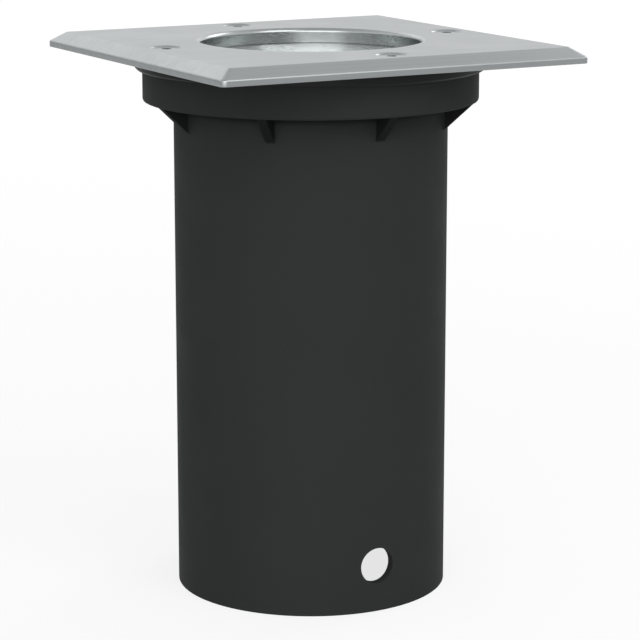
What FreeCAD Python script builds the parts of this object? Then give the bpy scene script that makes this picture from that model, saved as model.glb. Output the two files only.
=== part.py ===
"""In ground well light: a square steel cover over a lamp unit that hangs in a black ground sleeve.

Millimetres, +Z up, origin at the centre of the sleeve's base. The cable hole faces -Y.
"""

import FreeCAD, Part
import Sketcher
import math
import os

SIZES = {
    # Whole light
    "overall_height": 154,
    # Pressed cover plate
    "plate_side": 110,
    "plate_sheet": 1.5,
    "bevel_width": 3.9,
    "bevel_drop": 2.6,
    "lip_height": 1.7,
    "opening_overlap": 5,
    "opening_depth": 4.1,
    "opening_edge_radius": 1.2,
    # Cover screws
    "screw_margin": 4.5,
    "screw_count": 4,
    "screw_thread": 4,
    "screw_head": 7.8,
    "screw_head_edge": 0.2,
    "screw_sink": 0.4,
    "screw_length": 6,
    "screw_socket_flats": 2.5,
    "screw_socket_depth": 1.2,
    "countersink_clearance": 0.1,
    "thread_clearance": 0.05,
    # Glass and its seal
    "glass_thickness": 5,
    "glass_chamfer": 0.4,
    "glass_gap": 0.1,
    "seal_wall": 2.4,
    "seal_base": 1.5,
    "seal_ledge": 3.5,
    "seal_lip_gap": 0.3,
    "seal_clearance": 0.1,
    # Ground sleeve
    "tube_diameter": 76,
    "sleeve_wall": 2.5,
    "collar_height": 8.8,
    "collar_edge_radius": 0.6,
    "rib_count": 8,
    "rib_height": 7.4,
    "rib_thickness": 2.5,
    "outlet_diameter": 10,
    "outlet_height": 13,
    # Lamp housing
    "flange_gap": 5,
    "flange_overhang": 2,
    "head_clearance": 3.7,
    "flange_below_lip": 3.3,
    "flange_edge_radius": 0.5,
    "pot_clearance": 2,
    "pot_wall": 2.2,
    "pot_floor": 3,
    "pot_depth": 100,
    "pot_edge_radius": 4,
    "seat_clearance": 0.2,
    "trim_seat_depth": 3.4,
    "trim_seat_width": 1.5,
    "pillar_margin": 2.5,
    "pillar_diameter": 11,
    "block_boss_diameter": 7,
    "block_lift": 0.6,
    "boss_thread_depth": 4,
    # Trim ring
    "trim_sheet": 1,
    "trim_dish": 2,
    "trim_collar": 3.5,
    "trim_clearance": 0.2,
    "lamp_clearance": 0.6,
    "trim_reach": 4.2,
    # Lampholder and its contacts
    "holder_diameter": 28,
    "holder_height": 15,
    "holder_roof": 3,
    "holder_chamfer": 0.8,
    "pin_spacing": 10,
    "twist_angle": 45,
    "slot_clearance": 0.3,
    "running_gap": 0.3,
    "contact_sheet": 0.5,
    "contact_width": 3,
    "contact_tail": 3,
    "contact_tail_diameter": 1.6,
    "holder_screw_spacing": 18.8,
    "holder_screw_projection": 1.5,
    "head_recess": 2.4,
    # Bracket
    "bracket_sheet": 1.2,
    "bracket_clearance": 2.8,
    "bracket_width": 18,
    "bracket_corner_radius": 4,
    "bracket_window": 13,
    "bracket_screw_length": 7,
    "earth_boss_height": 4,
    "earth_thread": 3.5,
    "earth_head": 6.4,
    "earth_head_height": 2.2,
    "earth_screw_length": 4,
    # Small cheese-head screws
    "small_thread": 3,
    "small_head": 5.5,
    "small_head_height": 2,
    "small_slot_width": 0.8,
    "small_slot_depth": 0.9,
    "hole_clearance": 0.15,
    # Terminal block
    "block_length": 14,
    "block_base_height": 7,
    "block_height": 10.5,
    "pole_pitch": 8,
    "pole_margin": 4,
    "block_clearance": 1.1,
    "chimney_spacing": 7.6,
    "chimney_diameter": 5.2,
    "clamp_diameter": 4.4,
    "clamp_bore": 2.9,
    "clamp_length": 12,
    "clamp_thread": 2.5,
    "clamp_screw_length": 5,
    # Leads
    "lead_diameter": 2.2,
    "lead_insertion": 2,
    "lead_clearance": 2.5,
    "lead_drop": 8.5,
    # Cable gland
    "gland_thread": 16,
    "gland_bore": 9,
    "gland_flats": 20,
    "gland_flange_height": 5,
    "gland_thread_length": 10,
    "gland_collet_diameter": 17,
    "gland_collet_length": 8,
    "gland_finger_count": 6,
    "gland_slit_length": 6,
    "gland_cap_height": 13,
    "gland_cap_wall": 1.6,
    "gland_cap_gap": 0.4,
    "gland_seal_diameter": 13,
    "gland_seal_length": 9,
    "cable_diameter": 8,
    "washer_diameter": 22,
    "washer_thickness": 1.5,
    "locknut_flats": 21,
    "locknut_height": 4,
    # Lamp
    "lamp_length": 46.5,
    "lamp_wall": 1.5,
    "lamp_rim": 5,
    "lamp_waist_diameter": 30,
    "lamp_waist_height": 21,
    "lamp_base_diameter": 25,
    "lamp_base_height": 17,
    "lamp_base_wall": 2,
    "lamp_overlap": 4,
    "lamp_lens_thickness": 2,
    "lamp_lens_recess": 0.8,
    "lenslet_count": 6,
    "lenslet_circle": 25,
    "lenslet_diameter": 10.5,
    "lenslet_height": 1.1,
    "lenslet_chamfer": 0.7,
    "board_thickness": 1.6,
    "board_depth": 9,
    "emitter_side": 3.2,
    "emitter_height": 0.8,
    "board_margin": 4,
    "driver_width": 15,
    "driver_height": 22,
    "pin_neck": 3,
    "pin_head": 5,
    "pin_head_height": 2.6,
}

document = FreeCAD.newDocument("in_ground_well_light")
sheet = document.addObject("Spreadsheet::Sheet", "sizes")
for row, (alias, number) in enumerate(SIZES.items(), start=1):
    sheet.set(f"A{row}", alias)
    sheet.set(f"B{row}", str(number))
    sheet.setAlias(f"B{row}", alias)
document.recompute()

# Levels and radii that several pieces share, all worked out from the sheet.
PLATE_TOP = "sizes.overall_height"
PLATE_UNDERSIDE = f"({PLATE_TOP} - sizes.plate_sheet)"
LIP_BOTTOM = f"({PLATE_TOP} - sizes.bevel_drop - sizes.lip_height)"
COLLAR_TOP = f"({LIP_BOTTOM} - sizes.flange_below_lip)"
COLLAR_STEP = f"({COLLAR_TOP} - sizes.collar_height)"
RIM_BOTTOM = f"({PLATE_TOP} - sizes.opening_depth)"
GLASS_TOP = f"({RIM_BOTTOM} - sizes.glass_gap)"
GLASS_BOTTOM = f"({GLASS_TOP} - sizes.glass_thickness)"
SEAL_SEAT = f"({GLASS_BOTTOM} - sizes.seal_base)"
LEDGE_UNDERSIDE = f"({SEAL_SEAT} - sizes.pot_wall)"
TRIM_SEAT = f"({SEAL_SEAT} - sizes.trim_seat_depth)"
POT_UNDERSIDE = f"({COLLAR_TOP} - sizes.pot_depth)"
POT_FLOOR = f"({POT_UNDERSIDE} + sizes.pot_floor)"
LAMP_FRONT = f"({TRIM_SEAT} + sizes.trim_sheet - sizes.trim_dish)"
LAMP_BOTTOM = f"({LAMP_FRONT} - sizes.lamp_length)"
HOLDER_TOP = f"({LAMP_BOTTOM} - sizes.running_gap)"
HOLDER_BOTTOM = f"({HOLDER_TOP} - sizes.holder_height)"
BRACKET_UNDERSIDE = f"({HOLDER_BOTTOM} - sizes.bracket_sheet)"
BLOCK_BOTTOM = f"({POT_FLOOR} + sizes.locknut_height + sizes.block_lift)"
WASHER_BOTTOM = f"({POT_UNDERSIDE} - sizes.washer_thickness)"

# The plate's side sets the flange, the collar, the glass and the opening, from the outside in.
PLATE_HALF = "sizes.plate_side / 2"
FLANGE_RADIUS = f"({PLATE_HALF} - sizes.plate_sheet - sizes.flange_gap)"
SCREW_RADIUS = f"({FLANGE_RADIUS} - sizes.screw_margin)"
COLLAR_RADIUS = f"({FLANGE_RADIUS} - sizes.flange_overhang)"
COLLAR_BORE = f"({COLLAR_RADIUS} - sizes.sleeve_wall)"
HEAD_RADIUS = f"({COLLAR_BORE} - sizes.head_clearance)"
SEAT_RADIUS = f"({HEAD_RADIUS} - sizes.pot_wall)"
SEAL_RADIUS = f"({SEAT_RADIUS} - sizes.seat_clearance)"
GLASS_RADIUS = f"({SEAL_RADIUS} - sizes.seal_wall)"
SEAL_BORE = f"({GLASS_RADIUS} - sizes.seal_ledge)"
OPENING_RADIUS = f"({GLASS_RADIUS} - sizes.opening_overlap)"

# The tube sets the pot, the bracket, the lamp and the terminal block, from the outside in.
TUBE_RADIUS = "sizes.tube_diameter / 2"
TUBE_BORE = f"({TUBE_RADIUS} - sizes.sleeve_wall)"
POT_RADIUS = f"({TUBE_BORE} - sizes.pot_clearance)"
POT_BORE = f"({POT_RADIUS} - sizes.pot_wall)"
POT_LOWER_BORE = f"({POT_BORE} - sizes.trim_seat_width)"
BRACKET_HALF = f"({POT_LOWER_BORE} - sizes.bracket_clearance)"
PILLAR_OFFSET = f"({BRACKET_HALF} - sizes.pillar_margin)"
LAMP_RADIUS = f"({POT_LOWER_BORE} - sizes.trim_reach - sizes.lamp_clearance)"
BOARD_RADIUS = f"({LAMP_RADIUS} - sizes.board_margin)"
BLOCK_WIDTH = "(sizes.pole_pitch + 2 * sizes.pole_margin)"
BLOCK_REACH = f"sqrt({POT_LOWER_BORE} ^ 2 - (sizes.block_length / 2) ^ 2)"
BLOCK_OFFSET = f"({BLOCK_REACH} - sizes.block_clearance - {BLOCK_WIDTH} / 2)"

PIN_RADIUS = "sizes.pin_spacing / 2"
PIN_REST_ANGLE = "(90 - sizes.twist_angle / 2)"
CHAMBER_HEIGHT = "(2 * sizes.running_gap + sizes.pin_head_height + sizes.contact_sheet)"
SLOT_RADIUS = "(sizes.pin_neck / 2 + sizes.slot_clearance)"
ENTRY_RADIUS = "(sizes.pin_head / 2 + sizes.slot_clearance)"
SMALL_HOLE = "(sizes.small_thread / 2 + sizes.hole_clearance)"
SMALL_TAPPED = "(sizes.small_thread / 2 + sizes.thread_clearance)"
WIRE_LEVEL = "sizes.block_base_height / 2"
LENS_SEAT = "(sizes.lamp_length - sizes.lamp_lens_recess - sizes.lamp_lens_thickness)"
BOARD_SEAT = "(sizes.lamp_length - sizes.board_depth)"
FULL_TURN = 360
# How many chords make up the rounded corner of a turned outline, or the bend of a lead.
CORNER_CHORDS = 2
# The share of the shorter run that a lead's bend takes up.
RUN_SHARE = 0.45
# How a sweep passes a corner of its path: its sides run on until they meet.
MITRED = 1
# Two lengths closer than this count as the same.
SAME_LENGTH = 0.01


def value(expression):
    """The number that an expression over the sheet gives."""
    return float(sheet.evalExpression(expression))


def new_body(name, level="0"):
    """A body with its label, standing at a level of the light."""
    body = document.addObject("PartDesign::Body", name)
    body.Label = name
    body.setExpression("Placement.Base.z", level)
    return body


def new_sketch(body, name, role="XY_Plane", height="0"):
    """A sketch on one of the body's own origin planes, raised along the plane's normal."""
    sketch = body.newObject("Sketcher::SketchObject", name)
    plane = next(item for item in body.Origin.OriginFeatures if item.Role == role)
    sketch.AttachmentSupport = [(plane, "")]
    sketch.MapMode = "FlatFace"
    sketch.setExpression("AttachmentOffset.Base.z", height)
    return sketch


def bind(sketch, kind, geometry, point, expression):
    """Ties one coordinate of a sketch point to the sheet."""
    index = sketch.addConstraint(Sketcher.Constraint(kind, -1, 1, geometry, point, value(expression)))
    sketch.setExpression(f"Constraints[{index}]", expression)


def draw_outline(sketch, corners):
    """A closed outline through corners given as pairs of expressions."""
    points = [FreeCAD.Vector(value(across), value(up), 0) for across, up in corners]
    lines = [
        sketch.addGeometry(Part.LineSegment(start, end), False)
        for start, end in zip(points, points[1:] + points[:1])
    ]
    for line, following in zip(lines, lines[1:] + lines[:1]):
        sketch.addConstraint(Sketcher.Constraint("Coincident", line, 2, following, 1))
    for line, (across, up) in zip(lines, corners):
        bind(sketch, "DistanceX", line, 1, across)
        bind(sketch, "DistanceY", line, 1, up)


def draw_circle(sketch, across, up, radius):
    """A circle whose centre and radius are bound to the sheet."""
    centre = FreeCAD.Vector(value(across), value(up), 0)
    circle = sketch.addGeometry(Part.Circle(centre, FreeCAD.Vector(0, 0, 1), value(radius)), False)
    bind(sketch, "DistanceX", circle, 3, across)
    bind(sketch, "DistanceY", circle, 3, up)
    index = sketch.addConstraint(Sketcher.Constraint("Radius", circle, value(radius)))
    sketch.setExpression(f"Constraints[{index}]", radius)


def rectangle(half_length, half_width, across="0", up="0"):
    """The four corners of a rectangle about a point."""
    return [
        (f"{across} - {half_length}", f"{up} - {half_width}"),
        (f"{across} + {half_length}", f"{up} - {half_width}"),
        (f"{across} + {half_length}", f"{up} + {half_width}"),
        (f"{across} - {half_length}", f"{up} + {half_width}"),
    ]


def hexagon(across_flats, across="0", up="0"):
    """The six corners of a hexagon with two flats square to the sketch's vertical axis."""
    corner = f"{across_flats} / sqrt(3)"
    return [
        (f"{across} + {corner} * cos({turn})", f"{up} + {corner} * sin({turn})")
        for turn in range(0, FULL_TURN, FULL_TURN // 6)
    ]


def extrude(body, name, sketch, length, cut=False, reverse=False, both_ways=False):
    """Pads or pockets a sketch by a length bound to the sheet."""
    feature = body.newObject("PartDesign::Pocket" if cut else "PartDesign::Pad", name)
    feature.Profile = sketch
    feature.setExpression("Length", length)
    feature.Reversed = reverse
    if both_ways:
        feature.SideType = "Symmetric"
    return feature


def rounded(across, up, radius, start, stop):
    """Points round an arc about a centre, from one angle to another, to round a turned outline's corner."""
    angles = [start + (stop - start) * step / CORNER_CHORDS for step in range(CORNER_CHORDS + 1)]
    return [(f"{across} + {radius} * cos({angle})", f"{up} + {radius} * sin({angle})") for angle in angles]


def turn(body, name, corners, angle=str(FULL_TURN), cut=False, axis="0", back="0"):
    """Turns an outline of (distance from the axis, height) about an upright axis, set back towards -Y."""
    sketch = new_sketch(body, f"{name}_profile", "XZ_Plane", back)
    foot = FreeCAD.Vector(value(axis), 0, 0)
    line = sketch.addGeometry(Part.LineSegment(foot, foot + FreeCAD.Vector(0, 1, 0)), True)
    sketch.addConstraint(Sketcher.Constraint("Vertical", line))
    sketch.addConstraint(Sketcher.Constraint("Distance", line, 1))
    bind(sketch, "DistanceX", line, 1, axis)
    bind(sketch, "DistanceY", line, 1, "0")
    draw_outline(sketch, [(f"{axis} + {across}", up) for across, up in corners])
    feature = body.newObject("PartDesign::Groove" if cut else "PartDesign::Revolution", name)
    feature.Profile = sketch
    feature.ReferenceAxis = (sketch, ["Axis0"])
    feature.setExpression("Angle", angle)
    return feature


def repeat(body, name, features, count):
    """Repeats features round the body's own Z axis."""
    pattern = body.newObject("PartDesign::PolarPattern", name)
    pattern.Originals = features
    pattern.Axis = (next(item for item in body.Origin.OriginFeatures if item.Role == "Z_Axis"), [""])
    pattern.Angle = FULL_TURN
    pattern.setExpression("Occurrences", count)
    body.Tip = pattern
    return pattern


def named(kind, items, wanted):
    """The numbered names of a shape's edges or faces that pass a test."""
    return [f"{kind}{number}" for number, item in enumerate(items, start=1) if wanted(item)]


def soften(body, name, feature, size, wanted, kind="Fillet"):
    """Rounds or chamfers the edges of a feature that pass a test."""
    document.recompute()
    dressing = body.newObject(f"PartDesign::{kind}", name)
    dressing.Base = (feature, named("Edge", feature.Shape.Edges, wanted))
    dressing.setExpression("Radius" if kind == "Fillet" else "Size", size)
    body.Tip = dressing
    return dressing


def closed_edge(edge):
    """Whether an edge ends where it starts, as a disc's rim does."""
    return len(edge.Vertexes) == 1


def ring_edge(radius, height):
    """A test for round edges of one radius at one height of the body."""
    def passes(edge):
        curve = edge.Curve
        if not isinstance(curve, Part.Circle):
            return False
        return near(curve.Radius, value(radius)) and near(curve.Center.z, value(height))
    return passes


def near(first, second):
    """Whether two lengths are the same."""
    return abs(first - second) < SAME_LENGTH


def straight_edge(wanted):
    """A test for straight edges whose two ends both pass a test of their own."""
    def passes(edge):
        return isinstance(edge.Curve, Part.Line) and all(wanted(vertex.Point) for vertex in edge.Vertexes)
    return passes


def cut_countersink(body, name, level, shank, depth):
    """The cover screws' holes, from the plate's top down: a cone for the head, then a straight hole."""
    top = f"({PLATE_TOP} - {level})"
    mouth = "(sizes.screw_head / 2 + sizes.screw_head_edge + sizes.screw_sink + sizes.countersink_clearance)"
    hole = turn(body, name, [
        ("0", top),
        (mouth, top),
        (shank, f"{top} - {mouth} + {shank}"),
        (shank, f"{top} - {depth}"),
        ("0", f"{top} - {depth}"),
    ], cut=True, axis=SCREW_RADIUS)
    return repeat(body, f"{name}_pattern", [hole], "sizes.screw_count")


def drill(body, name, centres, radius, level, depth, upwards=False):
    """Round holes of one size at several places, cut down from a level, or up from it."""
    sketch = new_sketch(body, f"{name}_circles", height=level)
    for across, up in centres:
        draw_circle(sketch, across, up, radius)
    return extrude(body, name, sketch, depth, cut=True, reverse=upwards)


def raise_posts(body, name, centres, radius, level, height, downwards=False):
    """Round posts of one size at several places, standing on a level, or hanging from it."""
    sketch = new_sketch(body, f"{name}_circles", height=level)
    for across, up in centres:
        draw_circle(sketch, across, up, radius)
    return extrude(body, name, sketch, height, reverse=downwards)


def make_ground_sleeve():
    """The black sleeve: an open tube, a wider collar on a step, and ribs that stiffen the step."""
    body = new_body("ground_sleeve")
    step_floor = f"({COLLAR_STEP} + sizes.sleeve_wall)"
    edge = "sizes.collar_edge_radius"
    turn(body, "sleeve_turning", [
        (TUBE_BORE, "0"),
        (TUBE_RADIUS, "0"),
        (TUBE_RADIUS, COLLAR_STEP),
        *rounded(f"{COLLAR_RADIUS} - {edge}", f"{COLLAR_STEP} + {edge}", edge, -90, 0),
        (COLLAR_RADIUS, COLLAR_TOP),
        (COLLAR_BORE, COLLAR_TOP),
        (COLLAR_BORE, step_floor),
        (TUBE_BORE, step_floor),
    ])
    outline = new_sketch(body, "rib_outline", "XZ_Plane")
    rib_root = f"({TUBE_RADIUS} - sizes.sleeve_wall / 2)"
    rib_tip = f"({COLLAR_STEP} - sizes.rib_height)"
    draw_outline(outline, [
        (rib_root, COLLAR_STEP),
        (f"{COLLAR_RADIUS} - sizes.collar_edge_radius", COLLAR_STEP),
        (TUBE_RADIUS, rib_tip),
        (rib_root, rib_tip),
    ])
    rib = extrude(body, "rib", outline, "sizes.rib_thickness", both_ways=True)
    repeat(body, "ribs", [rib], "sizes.rib_count")
    outlet = new_sketch(body, "outlet_circle", "XZ_Plane")
    draw_circle(outlet, "0", "sizes.outlet_height", "sizes.outlet_diameter / 2")
    extrude(body, "cable_outlet", outlet, TUBE_RADIUS, cut=True, reverse=True)


def make_cover_plate():
    """The pressed steel cover: flat top, mitred bevels, upright lip, and an opening drawn down to a rim."""
    body = new_body("cover_plate", LIP_BOTTOM)
    top = "(sizes.lip_height + sizes.bevel_drop)"
    outline = new_sketch(body, "plate_outline")
    draw_outline(outline, rectangle(PLATE_HALF, PLATE_HALF))
    blank = extrude(body, "plate_blank", outline, top)
    document.recompute()
    on_top = straight_edge(lambda point: near(point.z, value(top)))
    bevel = body.newObject("PartDesign::Chamfer", "plate_bevel")
    bevel.Base = (blank, named("Edge", blank.Shape.Edges, on_top))
    bevel.ChamferType = "Two distances"
    bevel.setExpression("Size", "sizes.bevel_drop")
    bevel.setExpression("Size2", "sizes.bevel_width")
    document.recompute()
    pressing = body.newObject("PartDesign::Thickness", "plate_pressing")
    underside = named("Face", bevel.Shape.Faces, lambda face: near(face.BoundBox.ZMax, 0))
    pressing.Base = (bevel, underside)
    pressing.setExpression("Value", "sizes.plate_sheet")
    pressing.Reversed = True
    pressing.Join = "Intersection"
    rim_bottom = f"({RIM_BOTTOM} - {LIP_BOTTOM})"
    edge = "sizes.opening_edge_radius"
    drill(body, "opening", [("0", "0")], f"({OPENING_RADIUS} + {edge})", top, "sizes.plate_sheet")
    turn(body, "drawn_rim", [
        (OPENING_RADIUS, rim_bottom),
        (f"{OPENING_RADIUS} + sizes.plate_sheet", rim_bottom),
        (f"{OPENING_RADIUS} + sizes.plate_sheet", top),
        *rounded(f"{OPENING_RADIUS} + {edge}", f"{top} - {edge}", edge, 90, 180),
    ])
    shank = "(sizes.screw_thread / 2 + sizes.countersink_clearance)"
    cut_countersink(body, "countersink", LIP_BOTTOM, shank, "2 * sizes.plate_sheet")


def make_cover_screws():
    """Countersunk screws with hexagon sockets, one at the middle of each side of the plate."""
    body = new_body("cover_screws", f"{PLATE_TOP} - sizes.screw_sink")
    head = "sizes.screw_head / 2"
    thread = "sizes.screw_thread / 2"
    screw = turn(body, "screw", [
        ("0", "-sizes.screw_length"),
        (thread, "-sizes.screw_length"),
        (thread, f"-sizes.screw_head_edge - {head} + {thread}"),
        (head, "-sizes.screw_head_edge"),
        (head, "0"),
        ("0", "0"),
    ], axis=SCREW_RADIUS)
    outline = new_sketch(body, "socket_outline")
    draw_outline(outline, hexagon("sizes.screw_socket_flats", SCREW_RADIUS))
    socket = extrude(body, "socket", outline, "sizes.screw_socket_depth", cut=True)
    repeat(body, "screw_pattern", [screw, socket], "sizes.screw_count")


def make_glass_lens():
    """The thick glass that carries the load of a foot or a wheel."""
    body = new_body("glass_lens", GLASS_BOTTOM)
    disc = raise_posts(body, "disc", [("0", "0")], GLASS_RADIUS, "0", "sizes.glass_thickness")
    soften(body, "ground_edges", disc, "sizes.glass_chamfer", closed_edge, "Chamfer")


def make_glass_seal():
    """The rubber ring round the glass, pressed between the housing's seat and the plate's underside."""
    body = new_body("glass_seal", SEAL_SEAT)
    top = f"({PLATE_UNDERSIDE} - {SEAL_SEAT})"
    groove = f"({GLASS_RADIUS} + sizes.seal_clearance)"
    glass_top = "(sizes.seal_base + sizes.glass_thickness)"
    lip_bore = f"({OPENING_RADIUS} + sizes.plate_sheet + sizes.seal_lip_gap)"
    turn(body, "seal_turning", [
        (SEAL_BORE, "0"),
        (SEAL_RADIUS, "0"),
        (SEAL_RADIUS, top),
        (lip_bore, top),
        (lip_bore, glass_top),
        (groove, glass_top),
        (groove, "sizes.seal_base"),
        (SEAL_BORE, "sizes.seal_base"),
    ])


def make_lamp_housing():
    """The cast pot: a flange, a seat for the glass, pillars, and a floor with the gland hole."""
    body = new_body("lamp_housing")
    foot = "sizes.pot_edge_radius"
    edge = "sizes.flange_edge_radius"
    turn(body, "pot_turning", [
        ("0", POT_UNDERSIDE),
        *rounded(f"{POT_RADIUS} - {foot}", f"{POT_UNDERSIDE} + {foot}", foot, -90, 0),
        (POT_RADIUS, LEDGE_UNDERSIDE),
        (HEAD_RADIUS, LEDGE_UNDERSIDE),
        (HEAD_RADIUS, COLLAR_TOP),
        (f"{FLANGE_RADIUS} - {edge}", COLLAR_TOP),
        (FLANGE_RADIUS, f"{COLLAR_TOP} + {edge}"),
        (FLANGE_RADIUS, PLATE_UNDERSIDE),
        (SEAT_RADIUS, PLATE_UNDERSIDE),
        (SEAT_RADIUS, SEAL_SEAT),
        (POT_BORE, SEAL_SEAT),
        (POT_BORE, TRIM_SEAT),
        (POT_LOWER_BORE, TRIM_SEAT),
        (POT_LOWER_BORE, POT_FLOOR),
        ("0", POT_FLOOR),
    ])
    pillars = pillar_places()
    pillar_height = f"({BRACKET_UNDERSIDE} - {POT_FLOOR})"
    raise_posts(body, "pillars", pillars, "sizes.pillar_diameter / 2", POT_FLOOR, pillar_height)
    block_boss = [("0", f"-{BLOCK_OFFSET}")]
    earth_boss = [("0", BLOCK_OFFSET)]
    boss_radius = "sizes.block_boss_diameter / 2"
    block_rise = f"({BLOCK_BOTTOM} - {POT_FLOOR})"
    raise_posts(body, "block_boss", block_boss, boss_radius, POT_FLOOR, block_rise)
    raise_posts(body, "earth_boss", earth_boss, boss_radius, POT_FLOOR, "sizes.earth_boss_height")
    drill(body, "pillar_holes", pillars, SMALL_TAPPED, BRACKET_UNDERSIDE, "sizes.bracket_screw_length")
    drill(body, "block_hole", block_boss, SMALL_TAPPED, BLOCK_BOTTOM, "sizes.boss_thread_depth")
    earth_tapped = "(sizes.earth_thread / 2 + sizes.thread_clearance)"
    drill(body, "earth_hole", earth_boss, earth_tapped, f"({POT_FLOOR} + sizes.earth_boss_height)",
          "(sizes.earth_screw_length + sizes.hole_clearance)")
    gland_hole = "(sizes.gland_thread / 2 + sizes.hole_clearance)"
    drill(body, "gland_hole", [("0", "0")], gland_hole, POT_FLOOR, "sizes.pot_floor")
    shank = "(sizes.screw_thread / 2 + sizes.thread_clearance)"
    cut_countersink(body, "flange_hole", "0", shank, "(sizes.screw_length + sizes.screw_sink)")


def make_trim_ring():
    """The spun aluminium ring that rests on the pot's inner shoulder and dishes down to the lamp."""
    body = new_body("trim_ring", TRIM_SEAT)
    outer = f"({POT_BORE} - sizes.trim_clearance)"
    flat = f"({POT_LOWER_BORE} - sizes.trim_clearance)"
    inner = f"({LAMP_RADIUS} + sizes.lamp_clearance)"
    dish_level = "(sizes.trim_sheet - sizes.trim_dish)"
    turn(body, "ring_spinning", [
        (outer, "0"),
        (outer, "sizes.trim_sheet"),
        (flat, "sizes.trim_sheet"),
        (f"{inner} + sizes.trim_sheet", dish_level),
        (inner, dish_level),
        (inner, f"{dish_level} - sizes.trim_collar"),
        (f"{inner} + sizes.trim_sheet", f"{dish_level} - sizes.trim_collar"),
        (f"{inner} + sizes.trim_sheet", "-sizes.trim_dish"),
        (flat, "0"),
    ])


def pin_place(angle):
    """Where a pin's axis stands in the holder's own frame after a turn."""
    return f"{PIN_RADIUS} * cos({angle})", f"{PIN_RADIUS} * sin({angle})"


def make_lampholder():
    """The ceramic holder: two curved slots, wide at one end to let the pin heads in."""
    body = new_body("lampholder", HOLDER_BOTTOM)
    body.setExpression("Placement.Rotation.Angle", PIN_REST_ANGLE)
    roof = "(sizes.holder_height - sizes.holder_roof)"
    floor = f"({roof} - {CHAMBER_HEIGHT})"
    radius = "sizes.holder_diameter / 2"
    ceramic = raise_posts(body, "ceramic", [("0", "0")], radius, "0", "sizes.holder_height")
    soften(body, "ceramic_edges", ceramic, "sizes.holder_chamfer", closed_edge, "Chamfer")
    rest, entry = pin_place("0"), pin_place("sizes.twist_angle")
    cuts = [
        turn(body, "chamber", [
            (f"{PIN_RADIUS} - {ENTRY_RADIUS}", floor),
            (f"{PIN_RADIUS} + {ENTRY_RADIUS}", floor),
            (f"{PIN_RADIUS} + {ENTRY_RADIUS}", roof),
            (f"{PIN_RADIUS} - {ENTRY_RADIUS}", roof),
        ], angle="sizes.twist_angle", cut=True),
        turn(body, "slot", [
            (f"{PIN_RADIUS} - {SLOT_RADIUS}", roof),
            (f"{PIN_RADIUS} + {SLOT_RADIUS}", roof),
            (f"{PIN_RADIUS} + {SLOT_RADIUS}", "sizes.holder_height"),
            (f"{PIN_RADIUS} - {SLOT_RADIUS}", "sizes.holder_height"),
        ], angle="sizes.twist_angle", cut=True),
        drill(body, "chamber_end", [rest], ENTRY_RADIUS, roof, CHAMBER_HEIGHT),
        drill(body, "slot_end", [rest], SLOT_RADIUS, "sizes.holder_height", "sizes.holder_roof"),
        drill(body, "entry", [entry], ENTRY_RADIUS, "sizes.holder_height", f"sizes.holder_height - {floor}"),
        drill(body, "wire_bore", [pin_place("sizes.twist_angle / 2")],
              "(sizes.lead_diameter / 2 + sizes.hole_clearance)", "0", floor, upwards=True),
    ]
    repeat(body, "pole_pattern", cuts, "2")
    fixing = (
        f"sizes.holder_screw_spacing / 2 * cos({PIN_REST_ANGLE})",
        f"-sizes.holder_screw_spacing / 2 * sin({PIN_REST_ANGLE})",
    )
    recess = "(sizes.small_head / 2 + sizes.hole_clearance)"
    bores = [
        drill(body, "fixing_bore", [fixing], SMALL_HOLE, "sizes.holder_height", "sizes.holder_height"),
        drill(body, "head_recess", [fixing], recess, "sizes.holder_height", "sizes.head_recess"),
    ]
    repeat(body, "fixing_pattern", bores, "2")


def make_holder_contacts():
    """Two brass contacts under the pin heads, each with a tail that its lead is crimped to."""
    body = new_body("holder_contacts", HOLDER_BOTTOM)
    body.setExpression("Placement.Rotation.Angle", PIN_REST_ANGLE)
    floor = f"(sizes.holder_height - sizes.holder_roof - {CHAMBER_HEIGHT})"
    leaf = turn(body, "leaf", [
        (f"{PIN_RADIUS} - sizes.contact_width / 2", floor),
        (f"{PIN_RADIUS} + sizes.contact_width / 2", floor),
        (f"{PIN_RADIUS} + sizes.contact_width / 2", f"{floor} + sizes.contact_sheet"),
        (f"{PIN_RADIUS} - sizes.contact_width / 2", f"{floor} + sizes.contact_sheet"),
    ], angle="sizes.twist_angle")
    tail = raise_posts(body, "tail", [pin_place("sizes.twist_angle / 2")], "sizes.contact_tail_diameter / 2",
                       floor, "sizes.contact_tail", downwards=True)
    repeat(body, "contact_pattern", [leaf, tail], "2")


def pillar_places():
    """The centres of the two pillars that carry the bracket."""
    return [(f"-{PILLAR_OFFSET}", "0"), (PILLAR_OFFSET, "0")]


def make_holder_bracket():
    """The steel strip across the two pillars that carries the lampholder."""
    body = new_body("holder_bracket", BRACKET_UNDERSIDE)
    outline = new_sketch(body, "strip_outline")
    draw_outline(outline, rectangle(BRACKET_HALF, "sizes.bracket_width / 2"))
    strip = extrude(body, "strip", outline, "sizes.bracket_sheet")
    upright = straight_edge(lambda point: near(abs(point.x), value(BRACKET_HALF)))
    soften(body, "strip_corners", strip, "sizes.bracket_corner_radius",
           lambda edge: upright(edge) and near(edge.Length, value("sizes.bracket_sheet")))
    sheet_depth = ("sizes.bracket_sheet", "sizes.bracket_sheet")
    drill(body, "window", [("0", "0")], "sizes.bracket_window / 2", *sheet_depth)
    drill(body, "pillar_holes", pillar_places(), SMALL_HOLE, *sheet_depth)
    holder = [("-sizes.holder_screw_spacing / 2", "0"), ("sizes.holder_screw_spacing / 2", "0")]
    drill(body, "holder_holes", holder, SMALL_TAPPED, *sheet_depth)


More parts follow.
